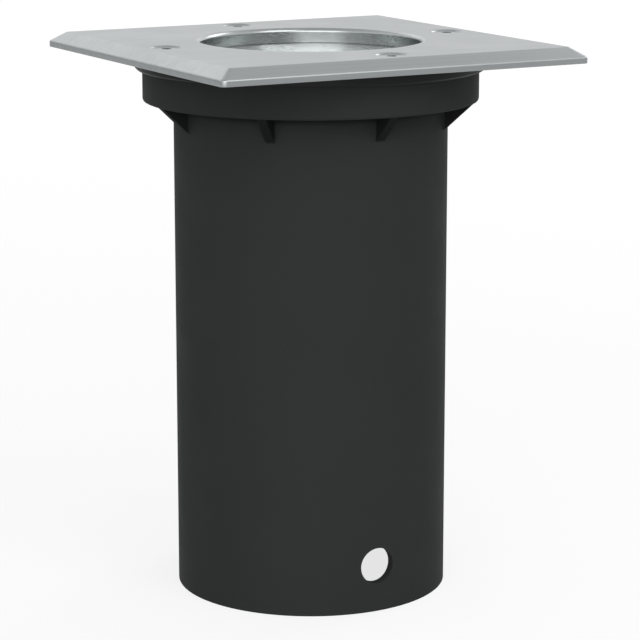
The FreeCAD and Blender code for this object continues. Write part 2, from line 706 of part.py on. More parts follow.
def make_slotted_screws(name, level, places, length, thread="sizes.small_thread", head="sizes.small_head",
                        head_height="sizes.small_head_height"):
    """Cheese-head screws whose heads sit on a level, each at a distance along +X and back towards -Y."""
    body = new_body(name, level)
    for number, (across, back) in enumerate(places, start=1):
        turn(body, f"screw_{number}", [
            ("0", f"-{length}"),
            (f"{thread} / 2", f"-{length}"),
            (f"{thread} / 2", "0"),
            (f"{head} / 2", "0"),
            (f"{head} / 2", head_height),
            ("0", head_height),
        ], axis=across, back=back)
        outline = new_sketch(body, f"slot_outline_{number}", height=head_height)
        draw_outline(outline, rectangle(f"{head} / 2", "sizes.small_slot_width / 2", across, f"-({back})"))
        extrude(body, f"slot_{number}", outline, "sizes.small_slot_depth", cut=True)


def make_holder_screws():
    """The two screws that clamp the holder to its bracket."""
    half_spacing = "(sizes.holder_screw_spacing / 2)"
    grip = "(sizes.holder_height - sizes.head_recess + sizes.bracket_sheet)"
    make_slotted_screws(
        "holder_screws", f"{HOLDER_TOP} - sizes.head_recess",
        [(half_spacing, "0"), (f"-{half_spacing}", "0")],
        f"({grip} + sizes.holder_screw_projection)")


def make_bracket_screws():
    """The two screws that fix the bracket to the pillars."""
    make_slotted_screws("bracket_screws", HOLDER_BOTTOM, pillar_places(), "sizes.bracket_screw_length")


def make_earth_screw():
    """The brass screw that the supply's earth wire goes under."""
    make_slotted_screws(
        "earth_screw", f"{POT_FLOOR} + sizes.earth_boss_height", [("0", f"-{BLOCK_OFFSET}")],
        "sizes.earth_screw_length", "sizes.earth_thread", "sizes.earth_head", "sizes.earth_head_height")


def make_terminal_fixing_screw():
    """The screw down the middle of the terminal block, into the boss under it."""
    make_slotted_screws(
        "terminal_fixing_screw", f"{BLOCK_BOTTOM} + sizes.block_base_height",
        [("0", BLOCK_OFFSET)],
        "(sizes.block_base_height + sizes.boss_thread_depth - sizes.slot_clearance)")


def pole_places():
    """How far back each pole of the terminal block lies."""
    return [f"({BLOCK_OFFSET} {sign} sizes.pole_pitch / 2)" for sign in "-+"]


def clamp_screw_places():
    """The centres of the four clamp screws, two to a pole."""
    sides = ("-sizes.chimney_spacing / 2", "sizes.chimney_spacing / 2")
    return [(side, f"-{back}") for side in sides for back in pole_places()]


def make_terminal_block():
    """A two-pole block: a base with a bore for each brass clamp, and a chimney over each clamp screw."""
    body = new_body("terminal_block", BLOCK_BOTTOM)
    outline = new_sketch(body, "block_outline")
    half_length = "sizes.block_length / 2"
    draw_outline(outline, rectangle(half_length, f"{BLOCK_WIDTH} / 2", "0", f"-{BLOCK_OFFSET}"))
    extrude(body, "block", outline, "sizes.block_base_height")
    chimneys = clamp_screw_places()
    rise = "(sizes.block_height - sizes.block_base_height)"
    raise_posts(body, "chimneys", chimneys, "sizes.chimney_diameter / 2", "sizes.block_base_height", rise)
    access = "(sizes.clamp_thread / 2 + sizes.slot_clearance)"
    depth = f"sizes.block_height - {WIRE_LEVEL}"
    drill(body, "chimney_bores", chimneys, access, "sizes.block_height", depth)
    drill(body, "fixing_bore", [("0", f"-{BLOCK_OFFSET}")], SMALL_HOLE,
          "sizes.block_base_height", "sizes.block_base_height")
    outline = new_sketch(body, "clamp_bore_circles", "YZ_Plane", "-sizes.block_length / 2")
    for back in pole_places():
        draw_circle(outline, f"-{back}", WIRE_LEVEL, "(sizes.clamp_diameter / 2 + sizes.seal_clearance)")
    extrude(body, "clamp_bores", outline, "sizes.block_length", cut=True, reverse=True)


def make_terminal_clamps():
    """Brass tubes inside the block, each tapped for its two screws."""
    body = new_body("terminal_clamps", BLOCK_BOTTOM)
    for pole, back in enumerate(pole_places(), start=1):
        for name, diameter, cut in (("tube", "clamp_diameter", False), ("bore", "clamp_bore", True)):
            outline = new_sketch(body, f"{name}_circle_{pole}", "YZ_Plane", "-sizes.clamp_length / 2")
            draw_circle(outline, f"-{back}", WIRE_LEVEL, f"sizes.{diameter} / 2")
            extrude(body, f"{name}_{pole}", outline, "sizes.clamp_length", cut=cut, reverse=cut)
    tapped = "(sizes.clamp_thread / 2 + sizes.thread_clearance)"
    depth = f"sizes.block_base_height - {WIRE_LEVEL}"
    drill(body, "screw_holes", clamp_screw_places(), tapped, "sizes.block_base_height", depth)


def make_terminal_screws():
    """Slotted grub screws down the chimneys, one over each end of each clamp."""
    body = new_body("terminal_screws", f"{BLOCK_BOTTOM} + {WIRE_LEVEL} + sizes.clamp_bore / 2")
    thread = "sizes.clamp_thread / 2"
    length = "sizes.clamp_screw_length"
    for number, (across, up) in enumerate(clamp_screw_places(), start=1):
        raise_posts(body, f"grub_{number}", [(across, up)], thread, "0", length)
        outline = new_sketch(body, f"slot_outline_{number}", height=length)
        draw_outline(outline, rectangle(thread, "sizes.small_slot_width / 2", across, up))
        extrude(body, f"slot_{number}", outline, "sizes.small_slot_depth", cut=True)


def route_wire(points):
    """A path of straight runs whose corners are eased by chords over nearly half of the shorter run."""
    path = [points[0]]
    for before, corner, after in zip(points, points[1:], points[2:]):
        arriving = (corner - before).normalize()
        leaving = (after - corner).normalize()
        reach = RUN_SHARE * min((corner - before).Length, (after - corner).Length)
        entry = corner - arriving * reach
        finish = corner + leaving * reach
        for step in range(CORNER_CHORDS + 1):
            share = step / CORNER_CHORDS
            near_entry = entry + (corner - entry) * share
            near_finish = corner + (finish - corner) * share
            path.append(near_entry + (near_finish - near_entry) * share)
    path.append(points[-1])
    return Part.makePolygon(path)


def make_lamp_leads():
    """Two insulated leads that drop out of the holder and curve round into the terminal block."""
    wire_level = value(WIRE_LEVEL)
    holder_level = value(f"{HOLDER_BOTTOM} - {BLOCK_BOTTOM}")
    drop = value("sizes.lead_drop")
    entry = value("sizes.block_length / 2 - sizes.lead_insertion")
    leads = []
    for side, back in zip((1, -1), pole_places()):
        exit_y = side * value(PIN_RADIUS)
        pole_y = -value(back)
        bow = value(f"sqrt({POT_LOWER_BORE} ^ 2 - {pole_places()[1]} ^ 2) - sizes.lead_clearance")
        points = [
            FreeCAD.Vector(0, exit_y, holder_level + value("sizes.lead_insertion")),
            FreeCAD.Vector(0, exit_y, holder_level - drop),
            FreeCAD.Vector(bow, (exit_y + 2 * pole_y) / 3, wire_level + drop),
            FreeCAD.Vector(bow, pole_y, wire_level),
            FreeCAD.Vector(entry, pole_y, wire_level),
        ]
        section = Part.Circle(points[0], FreeCAD.Vector(0, 0, 1), value("sizes.lead_diameter / 2")).toShape()
        leads.append(route_wire(points).makePipeShell([Part.Wire(section)], True, False, MITRED))
    lamp_leads = document.addObject("Part::Feature", "lamp_leads")
    lamp_leads.Label = "lamp_leads"
    lamp_leads.Shape = Part.makeCompound(leads)
    lamp_leads.setExpression("Placement.Base.z", BLOCK_BOTTOM)


def make_gland_washer():
    """The sealing washer between the gland and the pot."""
    body = new_body("gland_washer", WASHER_BOTTOM)
    inner = "(sizes.gland_thread / 2 + sizes.hole_clearance)"
    turn(body, "washer", [
        (inner, "0"),
        ("sizes.washer_diameter / 2", "0"),
        ("sizes.washer_diameter / 2", "sizes.washer_thickness"),
        (inner, "sizes.washer_thickness"),
    ])


def make_gland_body():
    """The gland's body: a threaded stub through the floor, a hexagon, and a collet with slit fingers."""
    body = new_body("gland_body", WASHER_BOTTOM)
    stub = "sizes.gland_thread_length"
    collet_end = "-(sizes.gland_flange_height + sizes.gland_collet_length)"
    raise_posts(body, "stub", [("0", "0")], "sizes.gland_thread / 2", "0", stub)
    outline = new_sketch(body, "hexagon_outline")
    draw_outline(outline, hexagon("sizes.gland_flats"))
    extrude(body, "hexagon", outline, "sizes.gland_flange_height", reverse=True)
    collet_radius = "sizes.gland_collet_diameter / 2"
    raise_posts(body, "collet", [("0", "0")], collet_radius, "-sizes.gland_flange_height",
                "sizes.gland_collet_length", downwards=True)
    chamber = "(sizes.gland_seal_diameter / 2 + sizes.seal_clearance)"
    length = "(sizes.gland_thread_length + sizes.gland_flange_height + sizes.gland_collet_length)"
    drill(body, "bore", [("0", "0")], "sizes.gland_bore / 2", stub, length)
    drill(body, "seal_chamber", [("0", "0")], chamber, collet_end, "sizes.gland_seal_length", upwards=True)
    outline = new_sketch(body, "slit_outline", height=collet_end)
    reach = f"{collet_radius} / 2"
    draw_outline(outline, rectangle(reach, "sizes.small_slot_width / 2", collet_radius))
    slit = extrude(body, "slit", outline, "sizes.gland_slit_length", cut=True, reverse=True)
    repeat(body, "slits", [slit], "sizes.gland_finger_count")


def make_gland_locknut():
    """The nut inside the pot that pulls the gland tight."""
    body = new_body("gland_locknut", POT_FLOOR)
    outline = new_sketch(body, "nut_outline")
    draw_outline(outline, hexagon("sizes.locknut_flats"))
    extrude(body, "nut", outline, "sizes.locknut_height")
    bore = "(sizes.gland_thread / 2 + sizes.thread_clearance)"
    drill(body, "nut_bore", [("0", "0")], bore, "sizes.locknut_height", "sizes.locknut_height")


def make_gland_seal():
    """The rubber sleeve that closes on the cable."""
    body = new_body("gland_seal", f"{WASHER_BOTTOM} - sizes.gland_flange_height - sizes.gland_collet_length")
    turn(body, "sleeve", [
        ("sizes.cable_diameter / 2", "0"),
        ("sizes.gland_seal_diameter / 2", "0"),
        ("sizes.gland_seal_diameter / 2", "sizes.gland_seal_length"),
        ("sizes.cable_diameter / 2", "sizes.gland_seal_length"),
    ])


def make_gland_cap():
    """The domed nut that squeezes the collet's fingers on to the seal."""
    cap_top = f"{WASHER_BOTTOM} - sizes.gland_flange_height - sizes.gland_cap_gap"
    body = new_body("gland_cap", cap_top)
    shoulder = "-(sizes.gland_collet_length + sizes.gland_cap_gap)"
    outline = new_sketch(body, "cap_outline")
    draw_outline(outline, hexagon("sizes.gland_flats"))
    extrude(body, "cap", outline, "sizes.gland_collet_length", reverse=True)
    crown = "(sizes.gland_flats / 2)"
    dome_middle = "-(sizes.gland_collet_length + sizes.gland_cap_height) / 2"
    turn(body, "dome", [
        ("0", "-sizes.gland_collet_length"),
        (crown, "-sizes.gland_collet_length"),
        (f"{crown} - sizes.gland_cap_wall / 2", dome_middle),
        (f"{crown} - 2 * sizes.gland_cap_wall", "-sizes.gland_cap_height"),
        ("0", "-sizes.gland_cap_height"),
    ])
    thread = "(sizes.gland_collet_diameter / 2 + sizes.thread_clearance)"
    exit_bore = "(sizes.cable_diameter / 2 + sizes.slot_clearance)"
    turn(body, "cap_bore", [
        ("0", "0"),
        (thread, "0"),
        (thread, shoulder),
        (exit_bore, f"{shoulder} - sizes.gland_cap_wall"),
        (exit_bore, "-sizes.gland_cap_height"),
        ("0", "-sizes.gland_cap_height"),
    ], cut=True)


def lamp_body(name):
    """A body in the lamp's own frame: standing on the base's underside, with the pins along its X axis."""
    body = new_body(name, LAMP_BOTTOM)
    body.setExpression("Placement.Rotation.Angle", PIN_REST_ANGLE)
    return body


def make_lamp_base():
    """The lamp's ceramic base, a closed cup with a hole for each pin."""
    body = lamp_body("lamp_base")
    radius = "sizes.lamp_base_diameter / 2"
    turn(body, "cup", [
        ("0", "0"),
        (f"{radius} - sizes.lamp_base_wall / 2", "0"),
        (radius, "sizes.lamp_base_wall / 2"),
        (radius, "sizes.lamp_base_height"),
        (f"{radius} - sizes.lamp_base_wall", "sizes.lamp_base_height"),
        (f"{radius} - sizes.lamp_base_wall", "sizes.lamp_base_wall"),
        ("0", "sizes.lamp_base_wall"),
    ])
    pins = [(PIN_RADIUS, "0"), (f"-({PIN_RADIUS})", "0")]
    hole = "(sizes.pin_neck / 2 + sizes.thread_clearance)"
    drill(body, "pin_holes", pins, hole, "sizes.lamp_base_wall", "sizes.lamp_base_wall")


def make_lamp_pins():
    """Two headed pins: the necks pass the slots and the heads lock under them."""
    body = lamp_body("lamp_pins")
    neck = "sizes.pin_neck / 2"
    head_top = "-(sizes.holder_roof + 2 * sizes.running_gap)"
    head_bottom = f"({head_top} - sizes.pin_head_height)"
    pin = turn(body, "pin", [
        ("0", head_bottom),
        ("sizes.pin_head / 2", head_bottom),
        ("sizes.pin_head / 2", head_top),
        (neck, head_top),
        (neck, "sizes.lamp_base_wall"),
        ("0", "sizes.lamp_base_wall"),
    ], axis=PIN_RADIUS)
    repeat(body, "pin_pair", [pin], "2")


def make_lamp_shell():
    """The lamp's flared shell, with ledges inside for the lens and the circuit board."""
    body = lamp_body("lamp_shell")
    radius = LAMP_RADIUS
    waist = "sizes.lamp_waist_diameter / 2"
    skirt = "(sizes.lamp_base_height - sizes.lamp_overlap)"
    bond = "(sizes.lamp_base_diameter / 2 + sizes.seal_clearance)"
    turn(body, "shell_moulding", [
        (bond, skirt),
        (waist, skirt),
        (waist, "sizes.lamp_waist_height"),
        (radius, "sizes.lamp_length - sizes.lamp_rim"),
        (radius, "sizes.lamp_length"),
        (f"{radius} - sizes.lamp_wall", "sizes.lamp_length"),
        (f"{radius} - sizes.lamp_wall", LENS_SEAT),
        (f"{radius} - 2 * sizes.lamp_wall", LENS_SEAT),
        (f"{BOARD_RADIUS} + sizes.seal_clearance", BOARD_SEAT),
        (f"{BOARD_RADIUS} - sizes.lamp_wall", BOARD_SEAT),
        (f"{waist} - sizes.lamp_wall", "sizes.lamp_waist_height"),
        (f"{waist} - sizes.lamp_wall", "sizes.lamp_base_height + sizes.running_gap"),
        (bond, "sizes.lamp_base_height + sizes.running_gap"),
    ])


def emitter_places():
    """The centres of the ring of emitters and lenslets."""
    return [
        (f"sizes.lenslet_circle / 2 * cos({FULL_TURN} * {number} / sizes.lenslet_count)",
         f"sizes.lenslet_circle / 2 * sin({FULL_TURN} * {number} / sizes.lenslet_count)")
        for number in range(round(value("sizes.lenslet_count")))
    ] + [("0", "0")]


def make_lamp_lens():
    """The lamp's clear front: a disc with a low lenslet over each emitter."""
    body = lamp_body("lamp_lens")
    radius = f"({LAMP_RADIUS} - sizes.lamp_wall - sizes.seal_clearance)"
    raise_posts(body, "lens_disc", [("0", "0")], radius, LENS_SEAT, "sizes.lamp_lens_thickness")
    top = f"({LENS_SEAT} + sizes.lamp_lens_thickness)"
    lenslets = raise_posts(body, "lenslets", emitter_places(), "sizes.lenslet_diameter / 2", top,
                           "sizes.lenslet_height")
    domed = ring_edge("sizes.lenslet_diameter / 2", f"{top} + sizes.lenslet_height")
    soften(body, "lenslet_domes", lenslets, "sizes.lenslet_chamfer", domed, "Chamfer")


def make_led_board():
    """The round board that the emitters are soldered to."""
    body = lamp_body("led_board")
    raise_posts(body, "board", [("0", "0")], BOARD_RADIUS, BOARD_SEAT, "sizes.board_thickness")


def make_led_emitters():
    """Square emitters, one under each lenslet."""
    body = lamp_body("led_emitters")
    top = f"({BOARD_SEAT} + sizes.board_thickness)"
    for number, (across, up) in enumerate(emitter_places(), start=1):
        outline = new_sketch(body, f"emitter_outline_{number}", height=top)
        draw_outline(outline, rectangle("sizes.emitter_side / 2", "sizes.emitter_side / 2", across, up))
        extrude(body, f"emitter_{number}", outline, "sizes.emitter_height")


def make_driver_board():
    """The supply board that stands in the base."""
    body = lamp_body("driver_board")
    outline = new_sketch(body, "driver_outline", height="sizes.lamp_base_wall")
    draw_outline(outline, rectangle("sizes.driver_width / 2", "sizes.board_thickness / 2"))
    extrude(body, "driver", outline, "sizes.driver_height")


def make_all():
    """Every piece of the light, from the ground up."""
    make_ground_sleeve()
    make_cover_plate()
    make_cover_screws()
    make_glass_lens()
    make_glass_seal()
    make_lamp_housing()
    make_trim_ring()
    make_lampholder()
    make_holder_contacts()
    make_holder_bracket()
    make_holder_screws()
    make_bracket_screws()
    make_earth_screw()
    make_terminal_block()
    make_terminal_clamps()
    make_terminal_screws()
    make_terminal_fixing_screw()
    make_lamp_leads()
    make_gland_washer()
    make_gland_body()
    make_gland_locknut()
    make_gland_seal()
    make_gland_cap()
    make_lamp_base()
    make_lamp_pins()
    make_lamp_shell()
    make_lamp_lens()
    make_led_board()
    make_led_emitters()
    make_driver_board()


def check_document():
    """Stops if any object failed or any piece has no valid shape."""
    document.recompute()
    for item in document.Objects:
        if "Invalid" in item.State or "Error" in item.State:
            raise RuntimeError(f"{item.Name} failed to build")
    for piece in pieces():
        if piece.Shape.isNull() or not piece.Shape.isValid():
            raise RuntimeError(f"{piece.Label} has no valid shape")


def pieces():
    """The pieces of the light, one document object each."""
    return [
        item for item in document.Objects
        if item.TypeId == "PartDesign::Body" or item.TypeId == "Part::Feature"
    ]


def write_pieces():
    """Writes each piece to its own file."""
    os.makedirs("parts", exist_ok=True)
    for piece in pieces():
        piece.Shape.exportStep(f"parts/{piece.Label}.step")


make_all()
check_document()
write_pieces()
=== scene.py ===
"""Looks of the in ground well light.

Every piece gets its finish, the cover and the trim ring get their soft forms, and a plain studio
stands round them. Lengths are in metres.
"""

import logging
import math
from dataclasses import dataclass
from enum import Enum
from typing import Sequence

import bmesh
import bpy
from mathutils import Matrix, Vector


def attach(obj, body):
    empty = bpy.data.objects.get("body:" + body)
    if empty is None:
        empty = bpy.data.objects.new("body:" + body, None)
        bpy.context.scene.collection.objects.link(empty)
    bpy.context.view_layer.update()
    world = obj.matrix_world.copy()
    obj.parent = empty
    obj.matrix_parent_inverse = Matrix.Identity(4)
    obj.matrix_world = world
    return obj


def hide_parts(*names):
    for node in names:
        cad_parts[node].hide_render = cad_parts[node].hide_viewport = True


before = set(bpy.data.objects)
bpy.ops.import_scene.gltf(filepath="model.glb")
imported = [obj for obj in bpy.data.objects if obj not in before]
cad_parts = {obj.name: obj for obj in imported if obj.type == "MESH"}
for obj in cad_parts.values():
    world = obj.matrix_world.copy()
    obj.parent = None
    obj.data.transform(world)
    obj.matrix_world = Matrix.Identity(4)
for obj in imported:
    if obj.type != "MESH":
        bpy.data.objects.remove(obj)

log = logging.getLogger("well_light")

Colour = tuple[float, float, float]
Point = tuple[float, float]
Place = tuple[float, float, float]

WHITE = (1.0, 1.0, 1.0, 1.0)
FULL_TURN_STEPS = 144
MIX_SHARE, MIX_FIRST, MIX_SECOND, MIX_RESULT = 0, 6, 7, 2  # the Mix node's sockets for colours


# ---------------------------------------------------------------------------
# Shader building


class Body(Enum):
    """The bodies that pieces ride on."""

    SLEEVE = "sleeve"
    LAMP_UNIT = "lamp_unit"
    LAMP = "lamp"


class Effect(Enum):
    """The surface effects that materials share, by the names of their shader groups."""

    BRUSH_GRAIN = "brush_grain"
    TURNED_GRAIN = "turned_grain"
    MOULD_SKIN = "mould_skin"
    DUST_FILM = "dust_film"
    HAND_MARKS = "hand_marks"
    BRAID = "braid"
    NEAR_AXIS = "near_axis"


class Graph:
    """Places nodes in one tree and joins them."""

    def __init__(self, tree: bpy.types.NodeTree) -> None:
        """Starts with an empty tree.

        Args:
            tree: The node tree of a material, a world or a group.
        """
        self.tree = tree
        self.column = 0
        tree.nodes.clear()

    def add(self, kind: str, **values: object) -> bpy.types.Node:
        """Adds a node.

        Args:
            kind: The node's type without its ShaderNode prefix.
            values: Attributes of the node, or inputs by name with underscores for spaces.

        Returns:
            The new node.
        """
        known = kind if kind.startswith("NodeGroup") else f"ShaderNode{kind}"
        node = self.tree.nodes.new(known)
        self.column += 1
        node.location = (self.column * 180, -(self.column % 4) * 160)
        for name, value in values.items():
            self.set(node, name, value)
        return node

    def set(self, node: bpy.types.Node, name: str, value: object) -> None:
        """Sets one attribute or input, or joins an output to it.

        Args:
            node: The node to change.
            name: An attribute of the node, or an input's name with underscores for spaces.
            value: A plain value, or an output socket.
        """
        socket = node.inputs.get(name.replace("_", " "))
        if socket is None and hasattr(node, name):
            setattr(node, name, value)
        else:
            self.feed(socket, value)

    def feed(self, socket: bpy.types.NodeSocket, value: object) -> None:
        """Joins an output to an input, or sets the input to a plain value.

        Args:
            socket: The input.
            value: An output socket, or a plain value.
        """
        if isinstance(value, bpy.types.NodeSocket):
            self.tree.links.new(value, socket)
        else:
            socket.default_value = value

    def maths(self, operation: str, first: object, second: object = 0.0) -> bpy.types.NodeSocket:
        """Adds one step of arithmetic.

        Args:
            operation: The Math node's operation.
            first: A number or an output socket.
            second: A number or an output socket.

        Returns:
            The result's socket.
        """
        node = self.add("Math", operation=operation)
        for socket, value in zip(node.inputs, (first, second)):
            self.feed(socket, value)
        return node.outputs[0]

    def mix(self, share: object, first: object, second: object) -> bpy.types.NodeSocket:
        """Mixes two colours.

        Args:
            share: How much of the second colour shows, as a number or a socket.
            first: A colour of three numbers, or a socket.
            second: A colour of three numbers, or a socket.

        Returns:
            The mixed colour's socket.
        """
        node = self.add("Mix", data_type="RGBA")
        for index, value in ((MIX_SHARE, share), (MIX_FIRST, first), (MIX_SECOND, second)):
            self.feed(node.inputs[index], (*value, 1.0) if isinstance(value, tuple) else value)
        return node.outputs[MIX_RESULT]

    def spread(self, value: bpy.types.NodeSocket, low: float, high: float,
               reach: Point = (0.0, 1.0)) -> bpy.types.NodeSocket:
        """Maps one range of a value to another, and holds the value at both ends.

        Args:
            value: The socket that varies.
            low: What the range's start becomes.
            high: What its end becomes.
            reach: Where the range starts and ends.

        Returns:
            The mapped value's socket.
        """
        node = self.add("MapRange", Value=value, From_Min=reach[0], From_Max=reach[1],
                        To_Min=low, To_Max=high)
        return node.outputs["Result"]

    def from_axis(self) -> tuple[bpy.types.NodeSocket, bpy.types.NodeSocket]:
        """How far the surface lies from the light's axis, and how high up.

        Returns:
            The distance's socket and the height's.
        """
        where = self.add("SeparateXYZ", Vector=self.add("TexCoord").outputs["Object"])
        across = self.maths("MULTIPLY", where.outputs["X"], where.outputs["X"])
        along = self.maths("MULTIPLY", where.outputs["Y"], where.outputs["Y"])
        return self.maths("SQRT", self.maths("ADD", across, along)), where.outputs["Z"]


def new_group(effect: Effect, inputs: dict[str, tuple[str, object]],
              outputs: Sequence[str]) -> Graph:
    """Starts a shader group with named sockets.

    Args:
        effect: The effect that the group makes.
        inputs: Each input's name with its socket kind and default value.
        outputs: The names of the float outputs.

    Returns:
        The group's graph, holding only its input and output nodes.
    """
    tree = bpy.data.node_groups.new(effect.value, "ShaderNodeTree")
    for label, (kind, default) in inputs.items():
        socket = tree.interface.new_socket(
            name=label, in_out="INPUT", socket_type=f"NodeSocket{kind}")
        socket.default_value = default
    for label in outputs:
        tree.interface.new_socket(name=label, in_out="OUTPUT", socket_type="NodeSocketFloat")
    graph = Graph(tree)
    graph.add("NodeGroupInput")
    graph.add("NodeGroupOutput")
    return graph


def ends(graph: Graph) -> tuple[bpy.types.Node, bpy.types.Node]:
    """The input and output nodes of a group's graph."""
    return graph.tree.nodes[0], graph.tree.nodes[1]


def place(graph: Graph, effect: Effect, **values: object) -> bpy.types.Node:
    """Places a shader group in a material.

    Args:
        graph: The material's graph.
        effect: The effect that the group makes.
        values: Its inputs, with underscores for spaces.

    Returns:
        The group's node.
    """
    node = graph.add("Group")
    node.node_tree = bpy.data.node_groups[effect.value]
    for label, value in values.items():
        graph.set(node, label, value)
    return node


def make_brush_grain() -> None:
    """Fine parallel scratches that a brushing belt leaves."""
    graph = new_group(
        Effect.BRUSH_GRAIN, {"Stretch": ("Vector", (40.0, 4200.0, 4200.0))}, ["Grain", "Streaks"])
    start, end = ends(graph)
    where = graph.add("TexCoord").outputs["Object"]
    long = graph.add("VectorMath", operation="MULTIPLY")
    graph.feed(long.inputs[0], where)
    graph.feed(long.inputs[1], start.outputs["Stretch"])
    fine = graph.add("TexNoise", Vector=long.outputs[0], Scale=1.0, Detail=3.0, Roughness=0.6)
    wide = graph.add("TexNoise", Vector=long.outputs[0], Scale=0.17, Detail=2.0, Roughness=0.5)
    graph.set(end, "Grain", fine.outputs["Fac"])
    graph.set(end, "Streaks", wide.outputs["Fac"])


def make_turned_grain() -> None:
    """Fine rings that a lathe tool leaves round the light's axis, or round any upright axis."""
    graph = new_group(Effect.TURNED_GRAIN, {"Pitch": ("Float", 3000.0)}, ["Rings"])
    start, end = ends(graph)
    turns = graph.maths(
        "MULTIPLY", graph.maths("ADD", *graph.from_axis()), start.outputs["Pitch"])
    rings = graph.add("TexNoise", noise_dimensions="1D", W=turns, Scale=1.0, Detail=2.0)
    graph.set(end, "Rings", rings.outputs["Fac"])


def make_mould_skin() -> None:
    """The fine spark-eroded skin of a moulding, with slow changes of tone over it."""
    graph = new_group(Effect.MOULD_SKIN, {"Fineness": ("Float", 2600.0)}, ["Height", "Tone"])
    start, end = ends(graph)
    where = graph.add("TexCoord").outputs["Object"]
    pits = graph.add(
        "TexNoise", Vector=where, Scale=start.outputs["Fineness"], Detail=3.0, Roughness=0.65)
    cells = graph.add("TexVoronoi", Vector=where, Scale=start.outputs["Fineness"])
    tone = graph.add("TexNoise", Vector=where, Scale=38.0, Detail=4.0, Roughness=0.55)
    graph.set(end, "Height", graph.maths("ADD", pits.outputs["Fac"], graph.maths(
        "MULTIPLY", cells.outputs["Distance"], 0.5)))
    graph.set(end, "Tone", tone.outputs["Fac"])


def make_dust_film() -> None:
    """Dust that settles on whatever faces up, in patches."""
    graph = new_group(Effect.DUST_FILM, {"Amount": ("Float", 0.3)}, ["Mask"])
    start, end = ends(graph)
    normal = graph.add("SeparateXYZ", Vector=graph.add("NewGeometry").outputs["Normal"])
    facing = graph.spread(normal.outputs["Z"], 0.0, 1.0, reach=(0.1, 0.9))
    where = graph.add("TexCoord").outputs["Object"]
    patches = graph.add("TexNoise", Vector=where, Scale=140.0, Detail=6.0, Roughness=0.7)
    strong = graph.spread(patches.outputs["Fac"], 0.0, 1.0, reach=(0.4, 0.75))
    settled = graph.maths("MULTIPLY", facing, strong)
    graph.set(end, "Mask", graph.maths("MULTIPLY", settled, start.outputs["Amount"]))


def make_hand_marks() -> None:
    """Faint smears where hands and cloths have passed."""
    graph = new_group(Effect.HAND_MARKS, {"Size": ("Float", 45.0)}, ["Smear"])
    start, end = ends(graph)
    where = graph.add("TexCoord").outputs["Object"]
    smear = graph.add(
        "TexNoise", Vector=where, Scale=start.outputs["Size"], Detail=5.0, Distortion=0.8)
    graph.set(end, "Smear", graph.spread(smear.outputs["Fac"], 0.0, 1.0, reach=(0.35, 0.7)))


def make_braid() -> None:
    """The crossed strands of a woven lead."""
    graph = new_group(Effect.BRAID, {"Pitch": ("Float", 900.0)}, ["Strands"])
    start, end = ends(graph)
    where = graph.add("TexCoord").outputs["Object"]
    pitch = start.outputs["Pitch"]
    left = graph.add("TexWave", Vector=where, Scale=pitch, bands_direction="DIAGONAL")
    right = graph.add("TexWave", Vector=where, Scale=pitch, bands_direction="Z")
    graph.set(end, "Strands", graph.maths("MULTIPLY", left.outputs["Fac"], right.outputs["Fac"]))


def make_near_axis() -> None:
    """One nearer to the light's axis than a radius in metres, and nothing beyond it."""
    graph = new_group(Effect.NEAR_AXIS, {"Radius": ("Float", 0.03)}, ["Mask"])
    start, end = ends(graph)
    reach, _ = graph.from_axis()
    graph.set(end, "Mask", graph.maths("LESS_THAN", reach, start.outputs["Radius"]))


def make_shared_effects() -> None:
    """Builds each shared shader group once."""
    for maker in (make_brush_grain, make_turned_grain, make_mould_skin, make_dust_film,
                  make_hand_marks, make_braid, make_near_axis):
        maker()


# ---------------------------------------------------------------------------
# Finishes


def shade(name: str) -> tuple[bpy.types.Material, Graph, bpy.types.Node]:
    """Starts a material with a Principled shader joined to its output.

    Args:
        name: The material's name.

    Returns:
        The material, its graph and its Principled node.
    """
    material = bpy.data.materials.new(name)
    material.use_nodes = True
    graph = Graph(material.node_tree)
    shader = graph.add("BsdfPrincipled")
    graph.add("OutputMaterial", Surface=shader.outputs["BSDF"])
    return material, graph, shader


def scaled(colour: Colour, factor: float) -> Colour:
    """A colour made lighter or darker, at most white."""
    return tuple(min(1.0, factor * part) for part in colour)


def raise_skin(graph: Graph, shader: bpy.types.Node, height: bpy.types.NodeSocket,
               strength: float, depth: float) -> None:
    """Gives a material its small relief.

    Args:
        graph: The material's graph.
        shader: Its Principled node.
        height: The socket that holds the relief.
        strength: The Bump node's strength.
        depth: The relief's depth in metres.
    """
    bump = graph.add("Bump", Strength=strength, Distance=depth, Height=height)
    graph.set(shader, "Normal", bump.outputs["Normal"])


def painted_shade_under_step(graph: Graph, radius: float, level: float, line_foot: float = 0.0026,
               line_top: float = 0.0011) -> bpy.types.NodeSocket:
    """Mask of painted shade: one on a tube's ribs under its step, and on a thin painted
    contact-shadow line where the tube meets the step.

    Args:
        graph: The material's graph.
        radius: The radius in metres beyond which the tube's ribs stand out.
        level: The step's height in metres.
        line_foot: How far under the step the painted shadow line begins to show.
        line_top: How far under the step it shows in full.

    Returns:
        The painted shade mask's socket.
    """
    height = graph.add("SeparateXYZ", Vector=graph.add("TexCoord").outputs["Object"]).outputs["Z"]
    below = graph.maths("LESS_THAN", height, level)
    near = place(graph, Effect.NEAR_AXIS, Radius=radius).outputs["Mask"]
    # Painted shade: the ribs under the step are darkened where the collar's shade would fall.
    ribs = graph.maths("MULTIPLY", graph.maths("SUBTRACT", 1.0, near), below)
    # Painted contact shadow: a thin dark band on the tube just under the step.
    line = graph.spread(height, 0.0, 1.0, reach=(level - line_foot, level - line_top))
    return graph.maths("MAXIMUM", ribs, graph.maths("MULTIPLY", line, below))


